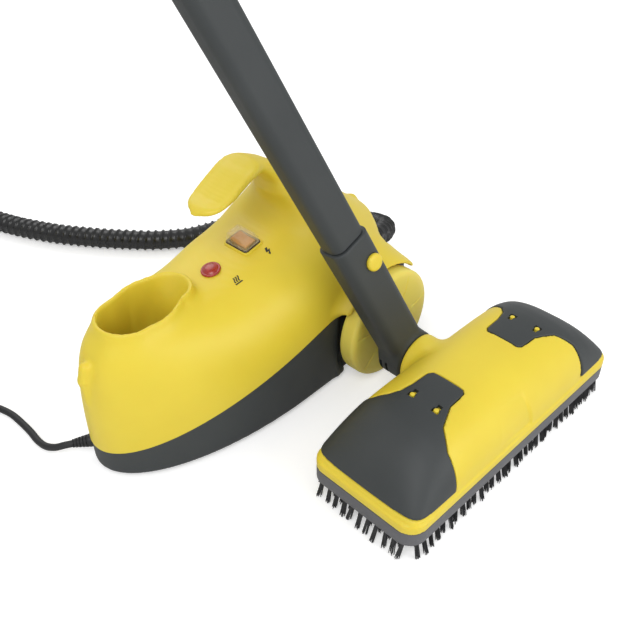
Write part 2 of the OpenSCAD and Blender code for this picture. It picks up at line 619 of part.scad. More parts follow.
// ---- swivel elbow and tubes ----

module elbow_grooves() for (k = [0:2]) translate([0, 0, 2 + 7 * k])
    rotate_extrude(angle = 75, start = 95, $fn = 64) translate([swivel_r + 5.4, 0]) square([8, 2.2]);
module swivel_elbow() color(grey) difference() {
    union() {
        difference() {
            union() {
                at_wand(2) round_bar(socket_size, 8, elbow_len - 2);
                at_swivel() rotate([-90, 0, 0]) {
                    translate([0, 0, -12]) cylinder(r = collar_r, h = 24, $fn = 64);
                    translate([0, 0, 12 - eps / 10]) cylinder(r1 = collar_r, r2 = collar_r - 5, h = 5,
                        $fn = 64);
                }
            }
            at_swivel() rotate([-90, 0, 0]) translate([0, 0, -60])
                cylinder(r = collar_r + 4, h = 60 - 11.7, $fn = 64);
            at_swivel() rotate([-90, 0, 0]) elbow_grooves();
        }
        at_swivel() rotate([-90, 0, 0]) translate([0, 0, -36])
            cylinder(r = swivel_r - fit, h = 30, $fn = 64);
    }
    at_swivel() rotate([-90, 0, 0]) {
        translate([0, 0, -37]) cylinder(r = 9, h = 41, $fn = 48);
        translate([0, 0, -26]) difference() {
            cylinder(r = swivel_r + 1, h = 2.6, $fn = 64);
            translate([0, 0, -1]) cylinder(r = swivel_r - 2.8, h = 5, $fn = 64);
        }
        translate([0, 0, -34.2]) difference() {
            cylinder(r = swivel_r + 1, h = 1.4, $fn = 64);
            translate([0, 0, -1]) cylinder(r = swivel_r - 1.6, h = 5, $fn = 64);
        }
    }
    at_wand(0) cylinder(r = 4, h = 90, $fn = 32);
    at_wand(elbow_len - joint_depth - 20) cylinder(r = pipe_r + fit, h = 40, $fn = 32);
    at_wand(elbow_len - joint_depth - 2) round_bar(spigot_size + [0.4, 0.4], 5.2, 80);
    at_wand(elbow_len - button_drop) button_seat();
}
module neck_seal() color(black) at_swivel() rotate([-90, 0, 0]) translate([0, 0, -25.9]) difference() {
    cylinder(r = swivel_r - fit, h = 2.4, $fn = 64);
    translate([0, 0, -1]) cylinder(r = swivel_r - 2.8, h = 5, $fn = 64);
}
module neck_ring() color(steel) at_swivel() rotate([-90, 0, 0]) translate([0, 0, -34.1]) difference() {
    cylinder(r = swivel_r + 2, h = 1.2, $fn = 64);
    translate([0, 0, -1]) cylinder(r = swivel_r - 1.6, h = 5, $fn = 64);
}
bush_y = pivot_y - 32.5;
collar_y = pivot_y - 12;
module neck_bush() color(black) translate([0, bush_y, pivot_z]) rotate([-90, 0, 0]) difference() {
    cylinder(r = swivel_r + 3, h = collar_y - bush_y - 0.4, $fn = 64);
    translate([0, 0, -1]) cylinder(r = swivel_r, h = 40, $fn = 64);
}

// Recess, stem hole and spigot dimple of a release button, on the front of a joint
module button_seat() translate([button_x, 0, 0]) rotate([90, 0, 0]) {
    translate([0, 0, socket_size[1] / 2 - button_travel - 0.2])
        cylinder(r = button_r + 0.2, h = 10, $fn = 48);
    translate([0, 0, spigot_size[1] / 2 - 4]) cylinder(r = 4.2, h = 20, $fn = 32);
}
module release_button() color(shell_colour) translate([button_x, 0, 0]) rotate([90, 0, 0]) {
    translate([0, 0, socket_size[1] / 2]) cylinder(r1 = button_r, r2 = button_r, h = 2, $fn = 48);
    translate([0, 0, socket_size[1] / 2 + 2 - eps / 10]) cylinder(r1 = button_r, r2 = button_r - 2.5,
        h = 2, $fn = 48);
    translate([0, 0, spigot_size[1] / 2 - 0.5]) cylinder(r = 4, h = 6, $fn = 32);
}
module button_spring() translate([button_x, 0, 0]) rotate([90, 0, 0])
    translate([0, 0, socket_size[1] / 2 - button_travel - 0.1]) difference() {
    cylinder(r = 6.6, h = button_travel, $fn = 40);
    translate([0, 0, -1]) cylinder(r = 4.5, h = 10, $fn = 32);
}
BUTTONS = [for (k = [0:2]) elbow_len + k * tube_len - button_drop];
module elbow_button() at_wand(BUTTONS[0]) release_button();
module tube_button() at_wand(BUTTONS[1]) release_button();
module gun_button() at_wand(BUTTONS[2]) release_button();
module button_springs() color(steel) for (t = BUTTONS) at_wand(t) button_spring();

// One extension tube: spigot below, sleeve, and socket above
module extension_tube(t) color(grey) at_wand(t) difference() {
    union() {
        round_bar(tube_size, 7, tube_len - joint_depth);
        translate([0, 0, -joint_depth]) round_bar(spigot_size, 5, joint_depth + eps);
        translate([0, 0, tube_len - joint_depth - 6]) round_bar(socket_size, 8, joint_depth + 6);
    }
    translate([0, 0, 4]) round_bar(tube_size - 2 * [tube_wall, tube_wall], 5, tube_len - joint_depth - 14);
    translate([0, 0, -joint_depth - 1]) cylinder(r = pipe_r, h = tube_len + joint_depth, $fn = 40);
    translate([0, 0, tube_len - joint_depth - 2]) round_bar(spigot_size + [0.4, 0.4], 5.2, 80);
    translate([0, 0, tube_len - button_drop]) button_seat();
    translate([button_x, 0, -button_drop]) rotate([90, 0, 0]) cylinder(r = 4.4, h = 14, $fn = 32);
}
module lower_tube() extension_tube(elbow_len);
module upper_tube() extension_tube(elbow_len + tube_len);
module steam_core(t) color("#D8D4C8") at_wand(t - joint_depth - 12) difference() {
    cylinder(r = pipe_r - fit, h = tube_len - 10, $fn = 40);
    translate([0, 0, -1]) cylinder(r = pipe_r - 1.5, h = tube_len + 10, $fn = 40);
}
module lower_pipe() steam_core(elbow_len);
module upper_pipe() steam_core(elbow_len + tube_len);
module tube_seals() color(black) for (k = [0:2]) at_wand(elbow_len + k * tube_len - joint_depth - 1.9)
    difference() {
    cylinder(r = pipe_r + 2.4, h = 1.8, $fn = 40);
    translate([0, 0, -1]) cylinder(r = pipe_r, h = 5, $fn = 40);
}

// ---- steam gun ----

gun_t = elbow_len + 2 * tube_len;
module at_gun() at_wand(gun_t) children();
module at_butt() translate([0, 132, 89]) rotate([-112, 0, 0]) children();
GUN = [[-17, 0], [17, 0], [17, 34], [22, 56], [40, 74], [70, 82], [100, 79], [125, 70], [139, 104],
    [112, 113],
    [70, 119], [32, 118], [4, 110], [-12, 92], [-17, 66]];
module gun_profile(inset) offset(delta = -inset, $fn = 24) offset(r = 4, $fn = 24) offset(delta = -4)
    polygon(GUN);
module gun_half(side) color(grey) at_gun() difference() {
    union() {
        rotate([90, 0, 90]) difference() {
            translate([0, 0, side > 0 ? 0 : -gun_w / 2]) linear_extrude(height = gun_w / 2) gun_profile(0);
            translate([0, 0, side > 0 ? -1 : 2.5 - gun_w / 2]) linear_extrude(height = gun_w / 2 - 1.5)
                gun_profile(2.5);
        }
        // bosses for the trigger pivot and the screws
        for (p = GUN_BOSSES) translate([side * gun_w / 4, p[0], p[1]]) rotate([0, 90, 0])
            cylinder(r = 4, h = gun_w / 2 - 1, center = true, $fn = 32);
        translate([side * (trigger_w / 2 + 0.4 + (gun_w - trigger_w) / 4 - 0.6), TRIGGER_PIN[0],
            TRIGGER_PIN[1]]) rotate([0, 90, 0])
            cylinder(r = 4.5, h = (gun_w - trigger_w) / 2 - 1.2, center = true, $fn = 32);
    }
    translate([0, TRIGGER_PIN[0], TRIGGER_PIN[1]]) rotate([0, 90, 0])
        cylinder(r = 2 + fit, h = gun_w - 6, center = true, $fn = 32);
    translate([-trigger_w / 2 - 0.5, 26, 54]) cube([trigger_w + 1, 52, 40]);
    at_butt() translate([0, 0, -40]) cylinder(r = 12 + fit, h = 60, $fn = 40);
    translate([-3.2, 52, 108]) cube([6.4, 24, 20]);
    translate([0, 0, -10]) cylinder(r = pipe_r, h = 50, $fn = 40);
}
GUN_BOSSES = [[4, 48], [6, 92], [112, 92]];
TRIGGER_PIN = [31, 82];
module gun_left() gun_half(-1);
module gun_right() difference() {
    union() {
        gun_half(1);
        color(grey) at_gun() translate([0, 0, -joint_depth]) round_bar(spigot_size, 5, joint_depth);
    }
    at_gun() translate([0, 0, -joint_depth - 1]) cylinder(r = pipe_r, h = joint_depth + 4, $fn = 40);
    at_gun() translate([button_x, 0, -button_drop]) rotate([90, 0, 0]) cylinder(r = 4.4, h = 14, $fn = 32);
}
module gun_trigger() color(shell_colour) at_gun() {
    difference() {
        translate([-trigger_w / 2, 0, 0]) rotate([90, 0, 90]) linear_extrude(height = trigger_w)
            polygon([[27, 80], [29, 62], [36, 58], [44, 64], [56, 70], [70, 72], [73, 77], [70, 84],
                [40, 86], [31, 87]]);
        translate([0, TRIGGER_PIN[0], TRIGGER_PIN[1]]) rotate([0, 90, 0])
            cylinder(r = 1.9, h = 40, center = true, $fn = 32);
    }
    translate([0, TRIGGER_PIN[0], TRIGGER_PIN[1]]) rotate([0, 90, 0])
        cylinder(r = 2, h = gun_w - 8, center = true, $fn = 32);
}
module trigger_spring() color(steel) at_gun() translate([0, 60, 85]) difference() {
    cylinder(r = 4, h = 12, $fn = 32);
    translate([0, 0, -1]) cylinder(r = 3, h = 20, $fn = 32);
}
module trigger_lock() color(shell_colour) at_gun() {
    translate([-4.5, 55, 119.4]) cube([9, 12, 4]);
    translate([-2.8, 57, 108]) cube([5.6, 8, 12]);
}
module gun_switch() color(black) at_gun() translate([-5, 44, 97.2]) cube([10, 26, 9]);

// ---- floor brush ----

function brush_top(x) = lookup(abs(x), [[0, 91.5], [60, 91.5], [80, 90], [95, 86.5], [110, 79.5],
    [123, 70], [133, 59.5],
    [140, 49], [144, 39], [145, 33]]) + brush_top_z - 91.5;
function corner_w(x) = brush_half_w - (brush_half_l - abs(x) < brush_corner ?
    brush_corner - sqrt(max(0, pow(brush_corner, 2) - pow(brush_corner - brush_half_l + abs(x), 2))) : 0);
BRUSH_STEPS = [1, 0.993, 0.975, 0.945, 0.91, 0.87, 0.82, 0.76, 0.7, 0.62, 0.52, 0.42, 0.2];
function brush_xs() = concat([for (s = BRUSH_STEPS) -s], [0],
    [for (k = [len(BRUSH_STEPS) - 1:-1:0]) BRUSH_STEPS[k]]);
function brush_ring(x, inset, low) = let (w = corner_w(x) - inset, z0 = brush_seam_z,
    h = max(1, brush_top(x) - z0 - inset))
    concat([for (i = [0:24]) let (a = 180 * i / 24)
        [x, w * power(cos(a), 0.72), z0 + 4 + max(0.5, h - 4) * power(sin(a), 0.8)]],
            [[x, -w, low], [x, w, low]]);
module brush_form(inset, low) loft([for (s = brush_xs()) brush_ring(s * (brush_half_l - inset), inset,
    low)]);

// Gap round a cloth clip, and the slots over its two pegs
clip_gap = 0.4;
CLIP_SLOTS = [[69, 12], [70, -13]];
// Plan of a cloth clip: boss, shoulders and the wrapped end
CLIP = [[38, 16], [38, -14], [41, -17], [60, -18], [79, -26], [90, -40], [95, -70], [170, -70],
    [170, 70], [86, 70],
    [86, 40], [80, 29], [72, 23], [60, 20], [42, 19]];
module clip_zone(grow, low) translate([0, 0, low]) linear_extrude(height = 120) offset(delta = grow)
    polygon(CLIP);
module clip_space(side, grow, inset) mirror([side < 0 ? 1 : 0, 0, 0]) difference() {
    intersection() {
        clip_zone(grow, brush_seam_z + 13 - grow);
        translate([-200, -100, brush_seam_z - 5]) cube([400, 200, 200]);
    }
    brush_form(inset, -20);
}
module brush_housing() color(shell_colour) moulding() difference() {
    union() {
        difference() {
            union() {
                difference() {
                    brush_form(0, brush_seam_z);
                    for (side = [-1, 1]) clip_space(side, clip_gap, clip_t + clip_gap);
                    for (side = [-1, 1]) intersection() {
                        translate([-side * clip_swing, 0, 0])
                            clip_space(side, clip_gap, clip_t + clip_swing + 0.2);
                        translate([side * clip_pin_x, 0, brush_top_z]) cube([16, 60, 20], center = true);
                    }
                }
                translate([0, 30, pivot_z]) rotate([-90, 0, 0])
                    cylinder(r = collar_r, h = collar_y - 30, $fn = 64);
            }
            brush_form(clip_t + wall, brush_seam_z - 20);
        }
        intersection() {
            translate([0, 0, pivot_z]) rotate([-90, 0, 0]) cylinder(r = collar_r, h = collar_y, $fn = 64);
            translate([-40, bush_y - 4, brush_seam_z]) cube([80, 60, 100]);
        }
        for (side = [-1, 1], p = CLIP_SLOTS) translate([side * (p[0] + 1), p[1], brush_top_z - 14])
            cylinder(r = 2.2, h = 13, $fn = 24);
        for (side = [-1, 1]) translate([side * clip_pin_x, 0, brush_top_z - clip_t - clip_gap - 1.3 - 6.5])
            cube([10, 34, 13], center = true);
    }
    translate([0, bush_y - 30, pivot_z]) rotate([-90, 0, 0]) cylinder(r = swivel_r + 3 - eps, h = 100,
        $fn = 64);
    translate([-30, bush_y - 30, pivot_z - 22]) cube([60, 30 - gap, 44]);
    for (side = [-1, 1]) translate([side * clip_pin_x, 0, brush_top_z - clip_pin_drop]) {
        rotate([90, 0, 0]) cylinder(r = 4.4, h = 25, center = true, $fn = 32);
        rotate([90, 0, 0]) cylinder(r = 1.5 + fit, h = 32, center = true, $fn = 48);
        translate([-4.4, -12.5, 0]) cube([8.8, 25, 20]);
    }
    for (side = [-1, 1], p = BRUSH_SCREWS) translate([side * p[0], p[1], brush_seam_z - 1])
        cylinder(r = 1.7, h = 9, $fn = 20);
    translate([-150, -80, -10]) cube([300, 160, brush_seam_z + 10]);
}
BRUSH_SCREWS = [[120, 38], [120, -38]];
module brush_base() color(rim_grey) difference() {
    union() {
        translate([0, 0, bristle_len]) linear_extrude(height = 4)
            round_rect([2 * brush_half_l, 2 * brush_half_w], brush_corner);
        translate([0, 0, bristle_len]) linear_extrude(height = brush_seam_z - bristle_len) difference() {
            round_rect([2 * brush_half_l, 2 * brush_half_w], brush_corner);
            round_rect([2 * brush_half_l - 6, 2 * brush_half_w - 6], brush_corner - 3);
        }
        for (side = [-1, 1], p = BRUSH_SCREWS) translate([side * p[0], p[1], bristle_len])
            cylinder(r = 4, h = brush_seam_z - bristle_len, $fn = 24);
    }
    for (x = [-96:32:96]) translate([x, 0, bristle_len - 1]) cylinder(r = 2, h = 6, $fn = 24);
}
module bristle_block() color(black) difference() {
    linear_extrude(height = bristle_len) round_rect([2 * brush_half_l + 4, 2 * brush_half_w + 4],
        brush_corner);
    for (y = [-33, -11, 11, 33]) for (x = [-96:64:96]) translate([x, y, -1])
        linear_extrude(height = bristle_len + 2)
        round_rect([58, 12], 3);
}
module at_clip_pin(side) translate([side * clip_pin_x, 0, brush_top_z - clip_pin_drop])
    rotate([90, 0, 0]) children();
module cloth_clip(side) color(grey) {
    moulding() difference() {
        intersection() {
            clip_space(side, 0, clip_t);
            brush_form(-0.4, -20);
        }
        for (p = CLIP_SLOTS) translate([side * p[0] - 4.5, p[1] - 3.2, brush_top_z - 20]) cube([9, 6.4, 40]);
    }
    at_clip_pin(side) for (y = [-9, 9]) translate([0, 0, y]) {
        cylinder(r = 3.4, h = 5, center = true, $fn = 40);
        translate([-2.2, 0, -2.5]) cube([4.4, clip_pin_drop - clip_t + 0.5, 5]);
    }
    at_clip_pin(side) cylinder(r = 1.5, h = 31, center = true, $fn = 48);
}
module clip_left() cloth_clip(-1);
module clip_right() cloth_clip(1);

upper_shell();
base_tub();
safety_cap();
cap_washer();
boiler_tank();
heating_element();
thermostat();
thermal_fuse();
pressure_switch();
solenoid_valve();
steam_pipe();
hose_socket();
terminal_block();
wire_loom();
switch_frame();
switch_rocker();
splash_cover();
lamp_lens();
lamp_body();
wheel_near();
wheel_far();
rear_axle();
axle_bushes();
axle_caps();
castor_fork();
castor_wheel();
castor_bush();
base_screws();
cord_gland();
mains_cord();
cord_coil();
cord_tie();
mains_plug();
steam_hose();
hose_cuff();
gun_cuff();
swivel_elbow();
neck_seal();
neck_ring();
neck_bush();
lower_tube();
upper_tube();
lower_pipe();
upper_pipe();
tube_seals();
elbow_button();
tube_button();
gun_button();
button_springs();
gun_left();
gun_right();
gun_trigger();
trigger_spring();
trigger_lock();
gun_switch();
brush_housing();
brush_base();
bristle_block();
clip_left();
clip_right();
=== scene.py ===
"""Looks of the steam cleaner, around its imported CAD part. Lengths are in mm until a mesh is made."""

import math

import bmesh
import bpy
import numpy as np
from mathutils import Matrix, Vector


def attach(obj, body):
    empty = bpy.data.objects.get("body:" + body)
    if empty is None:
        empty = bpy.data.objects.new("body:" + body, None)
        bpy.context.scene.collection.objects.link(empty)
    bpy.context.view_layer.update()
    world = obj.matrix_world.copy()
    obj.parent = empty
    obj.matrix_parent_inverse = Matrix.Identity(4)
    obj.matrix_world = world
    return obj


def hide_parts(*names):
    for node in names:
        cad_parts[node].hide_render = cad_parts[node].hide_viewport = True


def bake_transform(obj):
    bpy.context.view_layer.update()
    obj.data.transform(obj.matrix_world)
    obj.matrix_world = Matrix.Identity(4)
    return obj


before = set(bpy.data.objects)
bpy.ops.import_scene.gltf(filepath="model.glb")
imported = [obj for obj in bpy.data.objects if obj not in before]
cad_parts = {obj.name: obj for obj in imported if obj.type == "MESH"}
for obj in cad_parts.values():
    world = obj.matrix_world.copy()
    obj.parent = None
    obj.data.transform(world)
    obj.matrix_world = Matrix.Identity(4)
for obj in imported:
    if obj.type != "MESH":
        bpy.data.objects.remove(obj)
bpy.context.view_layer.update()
MM = 0.001
rng = np.random.default_rng(7)
scene = bpy.context.scene
scene.view_settings.view_transform = "Standard"


# ---- places ----

def rotation(axis, degrees):
    return np.array(Matrix.Rotation(math.radians(degrees), 3, axis))


class Place:
    """A local frame: its origin and its axes, as columns, in the row frame."""

    def __init__(self, origin, axes):
        self.o, self.m = np.array(origin, float), np.array(axes, float)

    def out(self, points):
        return np.asarray(points, float) @ self.m.T + self.o

    def step(self, origin, axes=np.eye(3)):
        return Place(self.out(origin), self.m @ axes)


ROW = Place((0, 0, 0), np.eye(3))
CANISTER = Place((17, 207, 0), rotation("Z", 2))
SWIVEL = Place((0, 74, 55), rotation("Y", -23))
WAND = SWIVEL.step((0, 0, 0), rotation("X", -12))
GUN_T = 1029
GUN = WAND.step((0, 0, GUN_T))

# ---- camera ----

cam_data = bpy.data.cameras.new("camera")
cam_data.lens, cam_data.sensor_width, cam_data.sensor_fit = 46.66, 36, "HORIZONTAL"
cam_data.clip_start, cam_data.clip_end = 0.05, 50
camera = bpy.data.objects.new("camera", cam_data)
right, up, ahead = (0.70507, -0.70914, 0), (0.44026, 0.43773, 0.78394), (0.55593, 0.55273, -0.62083)
camera.matrix_world = Matrix([[right[k], up[k], -ahead[k], (-0.4621, -0.2679, 0.5467)[k]] for k in range(3)]
                             + [[0, 0, 0, 1]])
scene.collection.objects.link(camera)
scene.camera = camera


# ---- materials ----

def linear(colour):
    parts = [int(colour[k:k + 2], 16) / 255 for k in (1, 3, 5)]
    return [c / 12.92 if c < 0.04045 else ((c + 0.055) / 1.055) ** 2.4 for c in parts] + [1]


def plastic(name, colours, rough=(0.35, 0.45), grain=1400, bump=0.02, mottle=18, coat=0.0, metal=0.0,
            stretch=(1, 1, 1), alpha=1.0, subsurface=0.0):
    """A moulded or drawn surface: slow drift between two colours, a fine grain, and worn gloss."""
    m = bpy.data.materials.new(name)
    m.use_nodes = True
    nodes, links = m.node_tree.nodes, m.node_tree.links
    shader = nodes["Principled BSDF"]
    where, scaled = nodes.new("ShaderNodeTexCoord"), nodes.new("ShaderNodeMapping")
    scaled.inputs["Scale"].default_value = stretch
    links.new(where.outputs["Object"], scaled.inputs["Vector"])

    def noise(scale, detail):
        n = nodes.new("ShaderNodeTexNoise")
        n.inputs["Scale"].default_value, n.inputs["Detail"].default_value = scale, detail
        links.new(scaled.outputs["Vector"], n.inputs["Vector"])
        return n

    slow, fine = noise(mottle, 4), noise(grain, 2)
    ramp = nodes.new("ShaderNodeValToRGB")
    for k, c in enumerate(colours[:2]):
        ramp.color_ramp.elements[k].color = linear(c)
        ramp.color_ramp.elements[k].position = (0.3, 0.7)[k]
    links.new(slow.outputs["Fac"], ramp.inputs["Fac"])
    links.new(ramp.outputs["Color"], shader.inputs["Base Color"])
    gloss = nodes.new("ShaderNodeMapRange")
    gloss.inputs["To Min"].default_value, gloss.inputs["To Max"].default_value = rough
    links.new(slow.outputs["Fac"], gloss.inputs["Value"])
    links.new(gloss.outputs["Result"], shader.inputs["Roughness"])
    dent = nodes.new("ShaderNodeBump")
    dent.inputs["Strength"].default_value, dent.inputs["Distance"].default_value = bump, 0.0005
    links.new(fine.outputs["Fac"], dent.inputs["Height"])
    links.new(dent.outputs["Normal"], shader.inputs["Normal"])
    shader.inputs["Metallic"].default_value = metal
    shader.inputs["Coat Weight"].default_value = coat
    shader.inputs["Coat Roughness"].default_value = 0.25
    shader.inputs["Alpha"].default_value = alpha
    shader.inputs["Subsurface Weight"].default_value = subsurface
    shader.inputs["Subsurface Scale"].default_value = 0.004
    return m


LOOK = {
    "yellow_plastic": plastic("lemon_moulding", ("#DFC838", "#D9C134"), (0.42, 0.52), 1500, 0.05, 14,
                              subsurface=0.08),
    # The wheels' own paler yellow is painted lighter still: painted light standing in for the light lost in
    # the shade the brush and wand cast on them.
    "wheel_yellow_painted_lighter": plastic("pale_wheel_moulding_painted_lighter", ("#E6D660", "#E0CE58"), (0.4, 0.5), 1500, 0.06, 20,
                            subsurface=0.15),
    "charcoal_plastic": plastic("charcoal_moulding", ("#333738", "#2F3334"), (0.5, 0.6), 1800, 0.12, 16),
    "rim_plastic": plastic("rim_moulding", ("#5A5A5E", "#525357"), (0.42, 0.52), 1600, 0.1, 20),
    "black_plastic": plastic("black_moulding", ("#1B1C1E", "#151617"), (0.35, 0.5), 1600, 0.1, 20),
    "hose_plastic": plastic("hose_skin", ("#0D0E0F", "#131415"), (0.3, 0.4), 1500, 0.06, 40, coat=0.1),
    "cord_rubber": plastic("cord_sheath", ("#17181A", "#1D1E20"), (0.45, 0.6), 2200, 0.15, 60),
    "seal_rubber": plastic("seal_rubber", ("#141516", "#1A1B1C"), (0.55, 0.7), 1500, 0.2, 40),
    "bristle": plastic("bristle_fibre", ("#1A1A1C", "#26262A"), (0.3, 0.45), 3000, 0.1, 400),
    "steel": plastic("drawn_steel", ("#B4B7BB", "#A4A8AD"), (0.22, 0.36), 900, 0.08, 60, metal=1.0,
                     stretch=(1, 1, 6)),
    "copper_pipe": plastic("copper_tube", ("#C0834A", "#A96C38"), (0.25, 0.4), 900, 0.06, 80, metal=1.0),
    "white_plastic": plastic("cream_moulding", ("#D8D3C6", "#CFC9BA"), (0.4, 0.5), 1500, 0.08, 40),
    "wire_sheath": plastic("wire_sheath", ("#9E3426", "#8E2C20"), (0.4, 0.5), 1500, 0.08, 80),
    # The clear cover's tint is painted pale, so that its doubled edges show as a painted highlight.
    "amber_clear": plastic("clear_cover_tint_painted_edge_highlight", ("#F2E2B0", "#EAD8A0"), (0.08, 0.14), 900, 0.02, 30, coat=0.4,
                           alpha=0.17),
    "rocker_amber": plastic("amber_rocker", ("#C4772A", "#B56A22"), (0.25, 0.35), 1200, 0.04, 60),
    "lamp_red": plastic("lamp_red", ("#A8332B", "#922620"), (0.22, 0.3), 1200, 0.03, 300, coat=0.2,
                        subsurface=0.1),
    "bezel_brown": plastic("bezel_brown", ("#3A2C20", "#46362A"), (0.3, 0.4), 1500, 0.06, 60),
    "symbol_ink": plastic("symbol_ink", ("#20211E", "#2A2A26"), (0.5, 0.6), 1500, 0.05, 200),
}
SLOT_OF_LOOK = {"wheel_yellow_painted_lighter": "yellow_plastic", "symbol_ink": "black_plastic",
                "bezel_brown": "black_plastic"}


# ---- meshes ----

def raw(name, verts, faces, place=ROW):
    """An object from mm in a place, with nothing said about it yet."""
    mesh = bpy.data.meshes.new(name)
    mesh.from_pydata((place.out(verts) * MM).tolist(), [], [list(map(int, f)) for f in faces])
    mesh.update()
    obj = bpy.data.objects.new(name, mesh)
    scene.collection.objects.link(obj)
    return obj


def piece(name, verts, faces, body, look, stands_for=(), place=ROW, sharp=38, ride=True):
    obj = raw(name, verts, faces, place)
    obj.data.validate()
    return dress(obj, body, look, stands_for, sharp, ride)


def dress(obj, body, look, stands_for=(), sharp=38, ride=True):
    mesh = obj.data
    mesh.materials.clear()
    mesh.materials.append(LOOK[look])
    mesh.shade_smooth()
    mesh.set_sharp_from_angle(angle=math.radians(sharp))
    SLOT_OF_LOOK.get(look, look)
    if stands_for:
        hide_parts(*stands_for)
    if ride:
        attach(obj, body)
    return obj


def sample(field, lo, step, points):
    """The field between its grid points, and its slope."""
    p = (points - lo) / step
    cell = np.clip(np.floor(p).astype(int), 0, np.array(field.shape) - 2)
    f = p - cell
    corner = {}
    for i in (0, 1):
        for j in (0, 1):
            for k in (0, 1):
                corner[i, j, k] = field[cell[:, 0] + i, cell[:, 1] + j, cell[:, 2] + k]
    fx, fy, fz = f.T
    c = {(j, k): corner[0, j, k] * (1 - fx) + corner[1, j, k] * fx for j in (0, 1) for k in (0, 1)}
    dx = sum((corner[1, j, k] - corner[0, j, k]) * (fy if j else 1 - fy) * (fz if k else 1 - fz)
             for j in (0, 1) for k in (0, 1))
    d = {k: c[0, k] * (1 - fy) + c[1, k] * fy for k in (0, 1)}
    dy = sum((c[1, k] - c[0, k]) * (fz if k else 1 - fz) for k in (0, 1))
    value = d[0] * (1 - fz) + d[1] * fz
    return value, np.stack([dx, dy, d[1] - d[0]], 1) / step


def skin(field, lo, step, relax=2):
    """The surface where the field is zero, as even quads: surface nets, relaxed on the surface."""
    field, lo = np.pad(field, 1, constant_values=step), np.array(lo, float) - step
    inside = field < 0
    corners = sum(inside[i:inside.shape[0] - 1 + i, j:inside.shape[1] - 1 + j,
                         k:inside.shape[2] - 1 + k].astype(np.int8)
                  for i in (0, 1) for j in (0, 1) for k in (0, 1))
    active = (corners > 0) & (corners < 8)
    cells = np.argwhere(active)
    index = np.full(active.shape, -1)
    index[active] = np.arange(len(cells))
    total, count = np.zeros((len(cells), 3)), np.zeros(len(cells))
    for axis in range(3):
        e = np.eye(3, dtype=int)[axis]
        for i in (0, 1):
            for j in (0, 1):
                start = cells + np.insert([i, j], axis, 0)
                end = start + e
                a, b = field[tuple(start.T)], field[tuple(end.T)]
                crossed = (a < 0) != (b < 0)
                t = a[crossed] / (a[crossed] - b[crossed])
                total[crossed] += start[crossed] + t[:, None] * e
                count[crossed] += 1
    verts = lo + step * total / count[:, None]
    quads = []
    for axis in range(3):
        others = [a for a in range(3) if a != axis]
        a = np.take(inside, range(inside.shape[axis] - 1), axis)
        b = np.take(inside, range(1, inside.shape[axis]), axis)
        at = np.argwhere(a != b)
        at = at[(at[:, others[0]] > 0) & (at[:, others[1]] > 0)]
        at = at[(at[:, others[0]] < active.shape[others[0]]) & (at[:, others[1]] < active.shape[others[1]])]
        e = np.eye(3, dtype=int)
        p, q = e[others[0]], e[others[1]]
        ring = np.stack([index[tuple((at - s).T)] for s in (0 * p, p, p + q, q)], 1)
        flip = a[tuple(at.T)] != (axis == 1)
        ring[flip] = ring[flip][:, ::-1]
        quads.append(ring)
    quads = np.concatenate(quads)
    quads = quads[(quads >= 0).all(1)]
    edges = np.concatenate([quads[:, [k, (k + 1) % 4]] for k in range(4)])
    spread = np.bincount(edges[:, 0], minlength=len(verts)).clip(1)[:, None]

    def drawn(verts, share):
        total = np.stack([np.bincount(edges[:, 0], verts[edges[:, 1], k], len(verts)) for k in range(3)], 1)
        return verts + share * (total / spread - verts)

    for turn in range(relax + 2):
        if turn < relax:
            verts = drawn(verts, 0.5)
        value, slope = sample(field, lo, step, verts)
        move = (value / np.maximum((slope ** 2).sum(1), 1e-2))[:, None] * slope
        verts = verts - np.clip(move, -step, step)
    for _ in range(4 if relax else 0):
        verts = drawn(drawn(verts, 0.5), -0.52)
    return verts, quads


def axes(lo, hi, step):
    return np.meshgrid(*[np.arange(a, b + step, step) for a, b in zip(lo, hi)], indexing="ij", sparse=True)


def even(field, step):
    """The field eased towards a true distance."""
    return field / np.clip(np.sqrt(sum(g ** 2 for g in np.gradient(field, step))), 0.6, 3)


def radial(size, reach):
    """A distance from a shape's relative size (1 at its surface) and the reach from its middle."""
    return reach * (1 - 1 / np.maximum(size, 0.05))


def join(a, b, k):
    h = np.clip(0.5 + 0.5 * (b - a) / k, 0, 1)
    return b + (a - b) * h - k * h * (1 - h)


def both(a, b, k):
    return -join(-a, -b, k)


def box2(x, y, hx, hy, r):
    qx, qy = np.abs(x) - (hx - r), np.abs(y) - (hy - r)
    return np.hypot(np.maximum(qx, 0), np.maximum(qy, 0)) + np.minimum(np.maximum(qx, qy), 0) - r


def polygon2(x, y, points):
    """Distance to a polygon, negative inside."""
    best, sign = None, None
    for (ax, ay), (bx, by) in zip(points, points[1:] + points[:1]):
        ex, ey = bx - ax, by - ay
        t = np.clip(((x - ax) * ex + (y - ay) * ey) / (ex * ex + ey * ey), 0, 1)
        d = (x - ax - t * ex) ** 2 + (y - ay - t * ey) ** 2
        best = d if best is None else np.minimum(best, d)
        over = ((ay > y) != (by > y)) & (x < ax + (y - ay) * ex / (ey if ey else 1e-9))
        sign = over if sign is None else sign ^ over
    return np.where(sign, -1, 1) * np.sqrt(best)


def taper2(x, y, a, ra, b, rb):
    """Distance to the hull of two circles, close to it."""
    e = (b[0] - a[0], b[1] - a[1])
    length = e[0] ** 2 + e[1] ** 2
    t = np.clip(((x - a[0]) * e[0] + (y - a[1]) * e[1]) / length, 0, 1)
    return np.hypot(x - a[0] - t * e[0], y - a[1] - t * e[1]) - (ra + t * (rb - ra))


